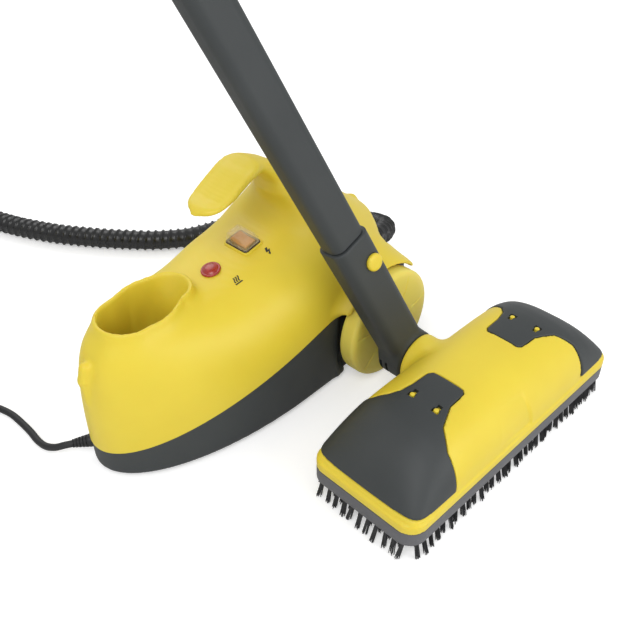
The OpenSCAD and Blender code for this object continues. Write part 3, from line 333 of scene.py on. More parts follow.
def smooth_line(points, sigma=4.0, step=0.5):
    """The line of points with its corners eased."""
    p = np.array(points, float)
    s = np.insert(np.cumsum(np.linalg.norm(np.diff(p, axis=0), axis=1)), 0, 0)
    t = np.arange(0, s[-1], step)
    q = np.stack([np.interp(t, s, p[:, k]) for k in range(p.shape[1])], 1)
    n = int(3 * sigma / step)
    lead = q[0] + (q[0] - q[1]) * np.arange(n, 0, -1)[:, None]
    tail = q[-1] + (q[-1] - q[-2]) * np.arange(1, n + 1)[:, None]
    q = np.concatenate([lead, q, tail])
    w = np.exp(-0.5 * (np.arange(-n, n + 1) * step / sigma) ** 2)
    w /= w.sum()
    return np.stack([np.convolve(q[:, k], w, "valid") for k in range(q.shape[1])], 1)


def facing_out(obj):
    bm = bmesh.new()
    bm.from_mesh(obj.data)
    bmesh.ops.recalc_face_normals(bm, faces=bm.faces)
    bm.to_mesh(obj.data)
    bm.free()
    return obj


def solid(verts, faces, place=ROW):
    """A closed cutter, not shown."""
    return facing_out(raw("cutter", verts, faces, place))


def prism_data(outline, a, b):
    n = len(outline)
    verts = [(x, y, z) for z in (a, b) for x, y in outline]
    sides = [(k, (k + 1) % n, n + (k + 1) % n, n + k) for k in range(n)]
    return verts, sides + [tuple(range(n))[::-1], tuple(range(n, 2 * n))]


def prism(outline, a, b, place=ROW):
    return solid(*prism_data(outline, a, b), place)


def circle(r, n=48, centre=(0, 0)):
    return [(centre[0] + r * math.cos(2 * math.pi * k / n), centre[1] + r * math.sin(2 * math.pi * k / n))
            for k in range(n)]


def rounded(hx, hy, r, n=8):
    out = []
    for cx, cy, a in ((1, 1, 0), (-1, 1, 90), (-1, -1, 180), (1, -1, 270)):
        for k in range(n + 1):
            t = math.radians(a + 90 * k / n)
            out.append((cx * (hx - r) + r * math.cos(t), cy * (hy - r) + r * math.sin(t)))
    return out


def carve(obj, cutters, operation="DIFFERENCE"):
    for c in cutters:
        m = obj.modifiers.new("cut", "BOOLEAN")
        m.object, m.operation, m.solver = c, operation, "MANIFOLD"
        done = evaluated(obj)
        if len(done.polygons) < 8 or len(done.vertices) == len(obj.data.vertices):
            m.solver = "EXACT"  # the quick solver gave up
            done = evaluated(obj)
        obj.modifiers.clear()
        obj.data = done
        bpy.data.objects.remove(c)
    return obj


def evaluated(obj):
    bpy.context.view_layer.update()
    return bpy.data.meshes.new_from_object(obj.evaluated_get(bpy.context.evaluated_depsgraph_get()))


def revolve(profile, n=64, close=True):
    """A profile of (radius, height) turned about Z; ends on the axis are closed."""
    verts, faces, rows = [], [], []
    for r, z in profile:
        if r < 1e-6:
            rows.append([len(verts)])
            verts.append((0, 0, z))
        else:
            rows.append(list(range(len(verts), len(verts) + n)))
            verts += [(r * math.cos(2 * math.pi * k / n), r * math.sin(2 * math.pi * k / n), z)
                      for k in range(n)]
    pairs = list(zip(rows, rows[1:])) + ([(rows[-1], rows[0])] if len(rows[0]) == len(rows[-1]) == n and close
                                         else [])
    for a, b in pairs:
        for k in range(n):
            j = (k + 1) % n
            if len(a) == 1:
                faces.append((a[0], b[j], b[k]))
            elif len(b) == 1:
                faces.append((a[k], a[j], b[0]))
            else:
                faces.append((a[k], a[j], b[j], b[k]))
    return verts, faces


def lofted(rings):
    """Closed rings of the same number of points, capped."""
    n, m = len(rings[0]), len(rings)
    verts = [tuple(p) for r in rings for p in r]
    faces = [(i * n + j, i * n + (j + 1) % n, (i + 1) * n + (j + 1) % n, (i + 1) * n + j)
             for i in range(m - 1) for j in range(n)]
    return verts, faces + [tuple(range(n))[::-1], tuple(range((m - 1) * n, m * n))]


def along(points, step):
    """A smooth line through points (Catmull-Rom), even in length."""
    p = np.array(points, float)
    p = np.concatenate([[2 * p[0] - p[1]], p, [2 * p[-1] - p[-2]]])
    out = []
    for a, b, c, d in zip(p, p[1:], p[2:], p[3:]):
        t = np.linspace(0, 1, 24, endpoint=False)[:, None]
        out.append(0.5 * (2 * b + (c - a) * t + (2 * a - 5 * b + 4 * c - d) * t ** 2
                          + (3 * b - a - 3 * c + d) * t ** 3))
    q = np.concatenate(out + [p[-2:-1]])
    s = np.insert(np.cumsum(np.linalg.norm(np.diff(q, axis=0), axis=1)), 0, 0)
    t = np.linspace(0, s[-1], int(s[-1] / step) + 1)
    return np.stack([np.interp(t, s, q[:, k]) for k in range(3)], 1), s[-1]


def tube(line, radius, sides):
    """Verts and faces of a round tube; radius(s, angle) may vary."""
    t = np.gradient(line, axis=0)
    t /= np.linalg.norm(t, axis=1)[:, None]
    s = np.insert(np.cumsum(np.linalg.norm(np.diff(line, axis=0), axis=1)), 0, 0)
    n = np.cross(t[0], (0, 0, 1) if abs(t[0][2]) < 0.9 else (1, 0, 0))
    a = np.linspace(0, 2 * math.pi, sides, endpoint=False)
    rings = []
    for k in range(len(line)):
        n = n - (n @ t[k]) * t[k]
        n /= np.linalg.norm(n)
        b = np.cross(t[k], n)
        r = radius(s[k], a) * np.ones(sides)
        rings.append(line[k] + r[:, None] * (np.cos(a)[:, None] * n + np.sin(a)[:, None] * b))
    return lofted(rings)


# ---- steam hose and mains cord ----

HOSE = [(99, 210, 66), (118, 212, 65), (139, 221, 58), (157, 236, 48), (170, 258, 37), (177, 285, 25),
        (177, 315, 17), (168, 346, 13), (150, 374, 13), (122, 394, 13), (88, 405, 13), (52, 410, 13),
        (17, 420, 13), (-19, 447, 13), (-58, 493, 13), (-91, 540, 13), (-115, 587, 13), (-131, 631, 13),
        (-150, 675, 13), (-185, 712, 13), (-235, 734, 13), (-290, 736, 13), (-341, 718, 13),
        (-379, 682, 13), (-400, 635, 13), (-408, 585, 18), (-410, 548, 38), (-409, 522, 82),
        (-407, 508, 140), (-405, 500, 210), (-403, 496, 300), (-402, 494, 400), (-401, 493, 520),
        (-401, 493, 640), (-401, 493, 760), (-402, 493, 860), (-402, 493, 915), (-403, 490, 955),
        (-404, 483, 988), (-407, 470, 1014), (-413, 448.6, 1028.3)]
HOSE_PITCH = 9.0
hose_line = smooth_line(HOSE, 11, 1.1)
hose_line = np.concatenate([[HOSE[0]], hose_line[8:-8], [HOSE[-1]]])
hose_line, hose_length = along(hose_line[::6], 1.1)


def hose_radius(s, a):
    turn = (s / HOSE_PITCH + a / (2 * math.pi)) % 1
    return 10.5 + 1.95 * np.exp(-((turn - 0.5) / 0.13) ** 2)


hose = piece("hose_spiral", *tube(hose_line, hose_radius, 26), "canister", "hose_plastic",
             ("steam_hose",), ride=False, sharp=70)

CORD = [(-262, 231, 13), (-268, 236, 11.5), (-274, 243, 8), (-278, 253, 5), (-279, 265, 3.6),
        (-278, 280, 3.5), (-278, 296, 3.5), (-279, 312, 3.5), (-283, 327, 3.5), (-289, 341, 3.5),
        (-298, 353, 3.5), (-309, 362, 3.5), (-318, 369, 4.2)]
CORD_END = [(-413, 457, 8), (-428, 454, 9), (-439, 446, 10.5), (-445, 434, 11), (-446, 421, 11)]
COIL_AT = (-372, 400)
CORD_R = 3.25
RADII = (49.5, 42.6, 35.7, 28.8)
LEVELS = (4.9, 11.7, 18.5, 25.3)


def ease(x):
    x = np.clip(x, 0, 1)
    return x * x * (3 - 2 * x)


def coil_line():
    """Fifteen turns and a bit, four across and four high, each turn one place on from the last."""
    start, stop = -18.0, 112.0
    total = 360 * 15 + stop - start
    a = np.arange(start, start + total, 6.0)
    r, z = np.full(len(a), RADII[0]), np.full(len(a), LEVELS[0])
    col, row, way = 0, 0, 1
    for turn in range(15):
        if 0 <= col + way <= 3:
            new_col, new_row = col + way, row
            at = (290, 190, 90, 10)[row]
        else:
            new_col, new_row, way = col, row + 1, -way
            at = (240, 140, 50)[row]
        base = 360 * turn + at
        w = ease((a - base) / 38)
        r = r + (RADII[new_col] - RADII[col]) * w
        z = z + (LEVELS[new_row] - LEVELS[row]) * w
        col, row = new_col, new_row
    last = a[-1]
    r = r + 10 * ease((a - (last - 62)) / 40)
    z = z - 16.5 * ease((a - (last - 46)) / 60)
    return np.stack([COIL_AT[0] + r * np.cos(np.radians(a)), COIL_AT[1] + r * np.sin(np.radians(a)), z], 1)


cord_line, cord_length = along(np.concatenate([CORD, coil_line(), CORD_END]), 2.5)
cord = piece("mains_lead", *tube(cord_line, lambda s, a: CORD_R, 12), "canister", "cord_rubber",
             ("mains_cord", "cord_coil"), sharp=80)


def band():
    """The strap round the coil: a rounded loop."""
    outer, inner = rounded(15.2, 15.2, 4.6, 6), rounded(14.1, 14.1, 3.6, 6)
    rings = []
    for y, grow in ((-4, -0.35), (-3.4, 0), (3.4, 0), (4, -0.35)):
        rings.append([(x + math.copysign(grow, x), y, z + math.copysign(grow, z)) for x, z in outer])
    for y in (4, -4):
        rings.append([(x, y, z) for x, z in inner])
    verts, faces = lofted(rings)
    n = len(outer)
    faces = faces[:-2] + [((5 * n) + j, 5 * n + (j + 1) % n, (j + 1) % n, j) for j in range(n)]
    return verts, faces


TIE = Place((COIL_AT[0], COIL_AT[1] - 39, 15.6), rotation("Z", 90))
piece("cord_strap", *band(), "canister", "charcoal_plastic", ("cord_tie",), TIE)
PLUG = Place((-446, 423, 11), rotation("X", 90))


def plug_body():
    rings = []
    for z, hx, hy in ((0, 4.6, 4.6), (0.8, 5.5, 5.5), (3, 5.9, 5.9), (3.3, 5.2, 5.2), (4.8, 5.4, 5.4),
                      (5.1, 6.5, 6.4), (7, 6.9, 6.7), (7.3, 6.2, 6.0), (8.8, 6.6, 6.3), (9.1, 8, 7),
                      (12, 9, 7.6), (14, 12, 8.2), (17, 15.4, 8.8), (21, 17.4, 9), (27, 17.9, 9),
                      (33, 17.9, 9), (35.2, 17.4, 8.6), (36, 16.6, 8)):
        rings.append([(x, y, z) for x, y in rounded(hx, hy, min(hx, hy) * 0.96, 7)])
    return lofted(rings)


plug = piece("plug_body", *plug_body(), "canister", "cord_rubber", ("mains_plug",), PLUG, sharp=32)
for side in (-1, 1):
    piece("plug_pin_" + ("near" if side < 0 else "far"),
          *revolve([(0, 35.5), (2.0, 35.5), (2.0, 44), (2.3, 44.3), (2.3, 53.6), (1.9, 54.6), (1, 55),
                    (0, 55)], 24),
          "canister", "steel", (), PLUG.step((side * 9.5, 0, 0)))
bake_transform(hose)

GLAND = CANISTER.step((-263, 21, 16), rotation("Z", 140) @ rotation("Y", 98))
relief = [(0, -6), (6, -6), (6, 4)]
for k in range(5):
    r0 = 6 - 0.42 * k
    relief += [(r0, 4.2 + 3 * k), (r0 - 0.2, 5.9 + 3 * k), (r0 - 1.1, 6.2 + 3 * k), (r0 - 1.2, 7.0 + 3 * k)]
relief += [(3.85, 19.2), (3.85, 20), (0, 20)]
piece("cord_relief", *revolve(relief, 40), "canister", "black_plastic", ("cord_gland",), GLAND, sharp=30)

# ---- canister ----

SEAM = [(-300, 84 - 0.24 * 253), (-47, 84), (100, 84)]
WELL = ((-223, 0), 23.5, (-203, 0), 25)
REAR_R = 18.5
HANDLE = [(-146, 204, -144.5, 200.5, 5), (-144.4, 205.8, -142.5, 200.5, 10.5), (-140, 208, -137, 201, 16),
          (-132, 211, -129, 202.5, 19), (-121, 217, -117, 207, 20.5), (-103, 227.5, -99, 216, 20.5),
          (-93, 231, -90, 219, 20), (-86, 231.5, -85, 218, 17), (-79, 229, -80, 216, 14),
          (-70, 225, -74, 211, 13.5), (-58, 217, -67, 202, 16), (-44, 207, -67, 191, 22),
          (-25, 193, -60, 178, 33), (0, 174, -54, 160, 41),
          (25, 155, -45, 136, 42), (42, 142, -35, 108, 42), (52, 134, -25, 92, 42), (57, 124, -18, 80, 42)]
BODY_TOP = [(-277, 30), (-276, 50), (-274, 66), (-271, 92), (-267, 111), (-262, 124), (-254, 134),
            (-244, 139), (-230, 141), (-210, 141), (-185, 140), (-165, 138), (-150, 138), (-143, 138.5),
            (-131, 141), (-118, 145), (-106, 148), (-90, 151), (-72, 157), (-60, 164), (-48, 171),
            (-36, 174), (-24, 172), (-10, 164), (4, 152), (20, 136), (36, 119), (50, 103), (58, 96),
            (72, 84)]
top_line = smooth_line(BODY_TOP, 4.5)


def handle_field(u, v, z):
    """The handle and the back it grows from: rings between an outer and an inner point, swept."""
    line = smooth_line(HANDLE, 3.0)
    rings = line[::4]
    uu, zz = np.broadcast_arrays(u[:, 0], z[0])
    shape = (u.shape[0], z.shape[2])
    p = np.stack([uu.ravel(), zz.ravel()], 1)
    centre, arm = (rings[:, :2] + rings[:, 2:4]) / 2, (rings[:, :2] - rings[:, 2:4]) / 2
    half = np.linalg.norm(arm, axis=1)
    shares, gaps = np.zeros((len(rings), len(p))), np.zeros((len(rings), len(p)))
    for k in range(len(rings)):
        d = p - centre[k]
        shares[k] = d @ arm[k] / half[k] ** 2
        gaps[k] = (d[:, 1] * arm[k][0] - d[:, 0] * arm[k][1]) / half[k]
    near = (np.abs(gaps) + 4 * np.maximum(np.abs(shares) - 1.3, 0) * half[:, None]).argmin(0)
    here = np.arange(len(p))
    side = gaps[near, here]
    other = np.clip(near - np.sign(side).astype(int), 0, len(rings) - 1)
    facing = (gaps[other, here] * side < 0) & (np.abs(gaps[other, here]) < 12)
    part = np.where(facing, np.abs(side) / (np.abs(side) + np.abs(gaps[other, here]) + 1e-9), 0)

    def blended(values):
        return (values[0] * (1 - part) + values[1] * part).reshape(shape)[:, None, :]

    share = blended((shares[near, here], shares[other, here]))
    width, thick = blended((rings[near, 4], rings[other, 4])), blended((half[near], half[other]))
    off = np.where(facing, 0, np.abs(side) - np.where(near > 0, 1.2, 0)).clip(0).reshape(shape)[:, None, :]
    dish = 2.6 / np.maximum(thick, 4) * ease((1 - np.abs(v) / width) / 0.32)
    dish = dish * ease((share + 0.2) / 0.8) * ease((-84 - u) / 14) * ease((u + 142) / 14)
    q = 2.667
    flat = (np.abs(share + dish) ** q + np.abs(v / width) ** q) ** (1 / q)
    flat = np.hypot(flat, off / 2.5)
    far = ease(np.abs(flat - 1) / 0.6)
    reach = np.sqrt((share * thick) ** 2 + v ** 2 + off ** 2)
    return (1 - far) * (flat - 1) * thick + far * radial(flat, reach)


STEP = 1.9
WALL = 3.0
SEAM_GAP = 0.35
FILLER_U, CASTOR_U = -206, -245


def body_field(u, v, z):
    w = 74.5 - np.interp(u, *smooth_line([(-60, 0), (-20, 0), (10, 3), (40, 10), (58, 20), (90, 38)], 8).T)
    s = np.minimum((u + 92) / 182, 0)
    e2 = np.maximum(1 - s ** 2, 0)
    z1 = np.interp(u, top_line[:, 0], top_line[:, 1])
    z0 = np.interp(u, [p[0] for p in SEAM], [p[1] for p in SEAM]) - 4
    rise = np.maximum(z - z0, 0) / np.maximum(z1 - z0, 6)
    q = 2.94
    size = np.sqrt((np.abs(v / w) ** q + (np.sqrt(e2) * rise) ** q) ** (2 / q) + s ** 2)
    reach = np.sqrt((s * 182) ** 2 + v ** 2 + np.maximum(z - z0, 0) ** 2)
    return np.maximum(even(radial(size, reach), STEP), 0.15 * (z - z1 - 4))


def fender_field(u, v, z):
    r = np.hypot(u, z - 55)
    outer = np.interp(np.abs(v), [50, 57, 68, 78, 88, 95], [67, 66, 65, 63.5, 61, 60])
    a = np.degrees(np.arctan2(z - 55, u))
    ends = np.maximum(42 - a, a - 148) * math.pi / 180 * r
    ring = both(r - outer, 58 - r, 2.0)
    side = both(np.abs(v) - 88 + 0 * r, 54 - np.abs(v) + 0 * r, 2)
    return both(both(ring, side, 2.5), ends, 4)


def well_field(u, v, z):
    rear_u = -182 - 0.5 * np.clip(150 - z, 0, 36)
    front = taper2(u, v, *WELL)
    t = np.clip((u - WELL[2][0]) / np.maximum(rear_u - WELL[2][0], 2), 0, 1)
    rear = np.hypot(u - WELL[2][0] - t * (rear_u - WELL[2][0]), v) - (WELL[3] + t * (REAR_R - WELL[3]))
    return join(front, rear, 5)


def shell_field(u, v, z):
    body, grip = body_field(u, v, z), handle_field(u, v, z)
    out = join(body, grip, 22)
    out = join(out, fender_field(u, v, z), 11)
    plan = join(taper2(u, v, *WELL), taper2(u, v, WELL[2], WELL[3], (-182, 0), REAR_R), 5)
    lip = both(plan - 3.6 + 0 * z, z - (144 + 6.5 * ease((u + 226) / 52)), 3.5)
    lip = both(lip, 118 - z, 4)
    out = join(out, lip, 9)
    ridge = join(round_cone(u, v, z, (-268, 0, 116), 5, (-271.5, 0, 105), 4.5),
                 round_cone(u, v, z, (-271.5, 0, 105), 4.5, (-272, 0, 80), 2), 2)
    out = join(out, ridge, 3.5)
    out = join(out, round_cone(u, v, z, (46, -4, 135), 6, (55, -4, 112), 3), 3)
    for side in (-1, 1):
        c, s = math.cos(math.radians(side * 14)), math.sin(math.radians(side * 14))
        du, dv = u + 281, v - side * 11
        x, y = du * c + dv * s, -du * s + dv * c
        scoop = (np.sqrt((x / 10) ** 2 + (y / 7) ** 2 + ((z - 96) / 22) ** 2) - 1) * 8
        out = both(out, -scoop, 2.5)
    out = both(out, u - 58, 9)
    well = both(well_field(u, v, z), 80 - z, 6)
    return both(out, -well, 3.2)


def round_cone(u, v, z, a, ra, b, rb):
    e = np.array(b, float) - a
    t = np.clip(((u - a[0]) * e[0] + (v - a[1]) * e[1] + (z - a[2]) * e[2]) / (e @ e), 0, 1)
    return np.sqrt((u - a[0] - t * e[0]) ** 2 + (v - a[1] - t * e[1]) ** 2
                   + (z - a[2] - t * e[2]) ** 2) - (ra + t * (rb - ra))


def side_prism(outline, half, place):
    """A polygon in the (u, z) plane, drawn out sideways."""
    n = len(outline)
    verts = [(x, y, z) for y in (-half, half) for x, z in outline]
    faces = [(k, (k + 1) % n, n + (k + 1) % n, n + k) for k in range(n)]
    return solid(verts, faces + [tuple(range(n))[::-1], tuple(range(n, 2 * n))], place)


def below_seam(lift):
    line = [(u, z + lift) for u, z in SEAM]
    return side_prism(line + [(100, -60), (-300, -60)], 140, CANISTER)


def above_seam(lift):
    line = [(u, z + lift) for u, z in SEAM]
    return side_prism([(-300, 320)] + line + [(100, 320)], 140, CANISTER)


lo = (-280, -95, 14)
u, v, heights = axes(lo, (62, 95, 238), STEP)
field = shell_field(u, v, heights)
shell = raw("shell_moulding", *skin(field, lo, STEP), CANISTER)
HANDLE_FOOT = 172  # the handle above is solid
hollow = raw("cutter", *skin(both(field + WALL, heights - HANDLE_FOOT, 2), lo, STEP, 0), CANISTER)


def top_at(u):
    return float(np.interp(u, top_line[:, 0], top_line[:, 1]))


SWITCH_U, LAMP_U = -95, -134
SWITCH = CANISTER.step((SWITCH_U, 0, top_at(SWITCH_U)), rotation("Y", -12))
LAMP = CANISTER.step((LAMP_U, 0, top_at(LAMP_U) + 0.5), rotation("Y", -14))
carve(shell, [hollow, below_seam(SEAM_GAP), prism(circle(15.8, 48, (FILLER_U, 0)), 60, 90, CANISTER),
              prism(rounded(8.7, 12.7, 1), -25, 5, SWITCH), prism(circle(7.3), -40, 20, LAMP)])
dress(shell, "canister", "yellow_plastic", ("upper_shell",), 40)


# ---- tub ----


def tub_field(u, v, z):
    low = np.clip((z - 8) / 80, 0, 1)
    w, a = 73.6 + 0.9 * low, 181 + 1.0 * low
    s = np.minimum((u + 92) / a, 0)
    r = np.sqrt(s ** 2 + (v / w) ** 2)
    nose = radial(r, np.hypot(s * a, v))
    front = both(nose, u + 47.5 + 0 * v, 2.5)
    rear = both(np.abs(v) - 68.8 + 0 * u, u - 58 + 0 * v, 8)
    rear = both(rear, -92 - u, 2)
    plan = join(front, rear + 0 * z, 4)
    foot = box2(u + 44.5, np.abs(v) - 69.5, 6.5, 4.6, 3) + 2.2 * ease((z - 6) / 12) + 5 * ease((z - 12) / 22)
    plan = join(plan, foot, 5)
    cove = np.hypot(u + 42.5, np.abs(v) - 74.5) - 6.4
    plan = both(plan, -(cove + 8 * ease((26 - z) / 18)), 2)
    return both(plan, 4 - z, 5)


lo, far = (-280, -80, 0), (62, 80, 92)
u, v, heights = axes(lo, far, STEP)
field = both(tub_field(u, v, heights), heights - 89, 0.5)
tub = raw("tub_moulding", *skin(field, lo, STEP), CANISTER)
inner = both(field + WALL, 7.2 - heights, 2)
carve(tub, [raw("cutter", *skin(inner, lo, STEP, 0), CANISTER), above_seam(-SEAM_GAP)])
AXLE = CANISTER.step((0, 0, 55), rotation("X", -90))
REAR = CANISTER.step((58, 0, 66), rotation("Y", 90))
carve(tub, [prism(circle(24, 48, (CASTOR_U, 0)), 3, 30.5, CANISTER)], "UNION")
carve(tub, [prism(circle(20, 48, (CASTOR_U, 0)), -5, 28, CANISTER),
            prism(circle(8.9, 40, (CASTOR_U, 0)), 20, 60, CANISTER),
            prism(circle(6.9), -90, 90, AXLE), prism(circle(12.9), -30, 10, REAR),
            prism(circle(5.9, 32), -10, 14, GLAND)]
      + [prism(circle(3.4, 24, p), -5, 6, CANISTER) for p in ((-195, -40), (-195, 40), (30, -50), (30, 50))])
dress(tub, "canister", "charcoal_plastic", ("base_tub",), 40)

# ---- wheels ----

WHEEL_IN, MARKS, FIRST_MARK = 80, 7, 64


def wheel_mesh(side):
    """A domed disc with short grooves, hollow behind, about the axle."""
    rim = [(4.3, 2), (4.3, 16.0), (8, 16.2), (30, 15.6), (44, 13), (50.5, 9), (51, 0.4), (51.6, 0), (53.6, 0),
           (54.6, 0.7), (55, 2), (55, 9), (55, 13.4), (54.5, 15.2), (53.2, 16.7), (51, 17.8), (47, 18.5),
           (40, 18.85), (30, 18.95), (18, 19), (9, 19), (0, 19)]
    line = smooth_line(rim[:5], 1.0, 1.5).tolist() + smooth_line(rim[5:9], 0.2, 0.8).tolist()
    line += smooth_line(rim[9:], 0.5, 0.9).tolist()
    line = [(max(r, 0), z) for r, z in line]
    line[0] = (4.3, 2)
    line[-1] = (0, line[-1][1])
    verts, faces = revolve(line, 288, close=False)
    v = np.array(verts)
    r, a = np.hypot(v[:, 0], v[:, 1]), np.degrees(np.arctan2(v[:, 1], v[:, 0]))
    sweep = (a - FIRST_MARK - 0.16 * (r - 40)) % (360 / MARKS)
    off = np.minimum(sweep, 360 / MARKS - sweep) * math.pi / 180 * r
    groove = np.exp(-(off / 0.75) ** 2) * ease((r - 26) / 4) * ease((53 - r) / 5)
    v[:, 2] -= np.where(v[:, 2] > 14, 0.9 * groove, 0)
    v[:, 2] += WHEEL_IN
    if side < 0:
        v[:, 2] *= -1
        faces = [f[::-1] for f in faces]
    return v, faces


for side, name, node, body in ((-1, "wheel_dome_near", "wheel_near", "near_wheel"),
                               (1, "wheel_dome_far", "wheel_far", "far_wheel")):
    verts, faces = wheel_mesh(side)
    flip = verts * (1, -1, 1)
    piece(name, flip, [f[::-1] for f in faces], body, "wheel_yellow_painted_lighter", (node,),
          CANISTER.step((0, 0, 55), rotation("X", -90)), sharp=50)

# ---- floor brush ----

BRUSH_L, BRUSH_W = 145, 55.5
brush_line = smooth_line([(0, 91.5), (60, 91.5), (80, 90), (95, 86.5), (110, 79.5), (123, 70), (133, 59.5),
                          (140, 49), (144, 39), (146, 28), (150, 10)], 4)
CLIP = [(38, 16), (38, -14), (41, -17), (60, -18), (79, -26), (90, -40), (95, -70), (170, -70), (170, 70),
        (86, 70), (86, 40), (80, 29), (72, 23), (60, 20), (42, 19)]
FACET = [(-27, 79), (-32, 49), (13, 44), (11.5, 55), (6, 77)]


def brush_plan(x, y, inset=0.0):
    return box2(x, y, BRUSH_L - inset, BRUSH_W - inset, 16 - inset)


def brush_field(x, y, z, step, inset=0.7):
    top = np.interp(np.abs(x), brush_line[:, 0], brush_line[:, 1])
    rise = np.maximum(z - 35, 0) / np.maximum(top - 35, 2)
    size = ((np.abs(y) / (BRUSH_W - inset)) ** 2.78 + rise ** 2.5) ** (1 / 2.6)
    form = even(radial(size + 0 * x, np.hypot(y, np.maximum(z - 35, 0)) + 0 * x), step)
    return both(form, brush_plan(x, y, inset) + 0 * z, 2)


def clip_zone(x, y, grow):
    return polygon2(np.abs(x) + 0 * y, y + 0 * x, CLIP) - grow


def crease(x, z):
    """The shallow folded recess in the front of the housing."""
    inside = polygon2(x + 0 * z, z + 0 * x, FACET)
    depth = 1.7 * np.clip((x + 32) / 40, 0, 1) * np.clip((90 - z) / 30, 0.3, 1)
    return depth * ease(0.5 - inside / 1.8)


step = 1.25
lo, far = (-148, -59, 30), (148, 64, 94)
x, y, z = axes(lo, far, step)
form = brush_field(x, y, z, step)
flange = both(brush_plan(x, y) + 0 * z, z - 41.5 + 0 * x, 1.2)
field = join(form + crease(x, z) * (y < 0), flange, 1.2)
collar = both(np.hypot(x, z - 55) - 24.4 + 0 * y, y - 61.7 + 0 * x, 1.6)
collar = both(collar, 10 - y, 2)
field = join(field, collar, 7)
field = both(field, 33.2 - z, 0.3)
depth = 3.4 + 1.4 * ease((47 - np.abs(x)) / 3)
pocket = both(both(clip_zone(x, y, 0.45) + 0 * z, 46 - 0.45 - z, 0.6), -(form + depth), 0.6)
field = both(field, -pocket, 0.7)
housing = raw("brush_moulding", *skin(field, lo, step), ROW)
COLLAR = Place((0, 0, 55), rotation("X", -90))
HINGES = [Place((sx * 44, 0, 84.5), rotation("X", 90)) for sx in (-1, 1)]
carve(housing, [prism(circle(18.95, 64), 38, 80, COLLAR)]
      + [prism(circle(3.75, 40), -12.3, 12.3, at) for at in HINGES]
      + [prism(circle(1.6, 32), -15.7, 15.7, at) for at in HINGES])
STUDS = ((69, 12), (70, -13))
for sx in (-1, 1):
    for px, py in STUDS:
        peg = raw("peg", *revolve([(0, -13), (2.3, -13), (2.3, -1.2), (2.0, -0.5), (1.2, -0.1), (0, 0)], 24),
                  Place((sx * (px + 1.2), py, 91.3), np.eye(3)))
        carve(housing, [peg], "UNION")
dress(housing, "canister", "yellow_plastic", ("brush_housing",), 38)

for sx, side in ((-1, "left"), (1, "right")):
    step = 0.95
    lo, far = ((-148, -58, 43), (-35, 58, 95)) if sx < 0 else ((35, -58, 43), (148, 58, 95))
    x, y, z = axes(lo, far, step)
    form = brush_field(x, y, z, step, 0.2)
    field = both(form - 0.5, -(form + 2.9), 0.8)
    field = both(field, clip_zone(x, y, 0) + 0 * z, 1.6)
    field = both(field, 46 - z, 1.6)
    clip = raw("clip_moulding_" + side, *skin(field, lo, step), ROW)
    cuts = []
    for px, py in STUDS:
        tee = [(-4.6, -2.2), (0.2, -2.2), (0.2, -3.4), (4.6, -3.4), (4.6, 3.4), (0.2, 3.4), (0.2, 2.2),
               (-4.6, 2.2)]
        tee = [(sx * (px + a), py + b) for a, b in tee]
        cuts.append(prism(tee, 70, 110))
    carve(clip, cuts)
    hinge = revolve([(0, -15.5), (1.5, -15.5), (1.5, 15.5), (0, 15.5)], 32)
    boss = revolve([(0, -12), (3.4, -12), (3.4, 12), (0, 12)], 40)
    at = HINGES[sx > 0]
    carve(clip, [raw("pin", *boss, at), raw("pin", *hinge, at)], "UNION")
    dress(clip, side + "_clip", "charcoal_plastic", ("clip_" + side,), 38)

# ---- bristles ----


def tuft(at, lean, count, out):
    """A bundle of tapering fibres that fans out a little towards its tip."""
    verts, faces = out
    for _ in range(count):
        a, r = rng.uniform(0, 2 * math.pi), 1.5 * math.sqrt(rng.uniform())
        root = np.array([at[0] + r * math.cos(a), at[1] + r * math.sin(a), 19.3])
        fan = 0.5 * r
        tip_z = rng.uniform(0.25, 2.6)
        drop = root[2] - tip_z
        tip = root + np.array([lean[0] * drop + fan * math.cos(a) + rng.normal(0, 0.25),
                               lean[1] * drop + fan * math.sin(a) + rng.normal(0, 0.25), -drop])
        tip[1] = np.clip(tip[1], -56.9, 56.9)
        base = len(verts)
        for t, w in ((0, 0.46), (0.5, 0.46), (1, 0.3)):
            c = root + (tip - root) * t - np.array([lean[0], lean[1], 0]) * 2.2 * t * (1 - t)
            verts += [tuple(c + np.array([w * math.cos(b), w * math.sin(b), 0])) for b in (0.4, 2.5, 4.6)]
        for k in (0, 3):
            faces += [(base + k + j, base + k + 3 + j, base + k + 3 + (j + 1) % 3, base + k + (j + 1) % 3)
                      for j in range(3)]
        faces.append((base, base + 1, base + 2))
        faces.append((base + 8, base + 7, base + 6))


tufts = ([], [])
outline = []
for inset, gap, lean in ((5.0, 8.2, 0.18), (12.5, 9.4, 0.1)):
    hx, hy = BRUSH_L - inset, BRUSH_W - inset
    for a, b, n in (((-hx, -hy), (hx, -hy), (0, -1)), ((hx, -hy), (hx, hy), (1, 0)),
                    ((hx, hy), (-hx, hy), (0, 1)), ((-hx, hy), (-hx, -hy), (-1, 0))):
        length = math.dist(a, b)
        trim = 7
        count = int((length - 2 * trim) / gap)
        for k in range(count + 1):
            t = (trim + (length - 2 * trim) * k / count) / length
            p = (a[0] + (b[0] - a[0]) * t, a[1] + (b[1] - a[1]) * t)
            slack = rng.normal(0, 0.05, 2)
            tuft(p, (n[0] * lean * 1.5 + slack[0], n[1] * lean + slack[1]), 24, tufts)
for x in np.arange(-112, 113, 14.0):
    for y in (-28, -14, 0, 14, 28):
        tuft((x, y), tuple(rng.normal(0, 0.05, 2)), 12, tufts)
piece("bristle_tufts", *tufts, "canister", "bristle", ("bristle_block",), ROW, sharp=60)


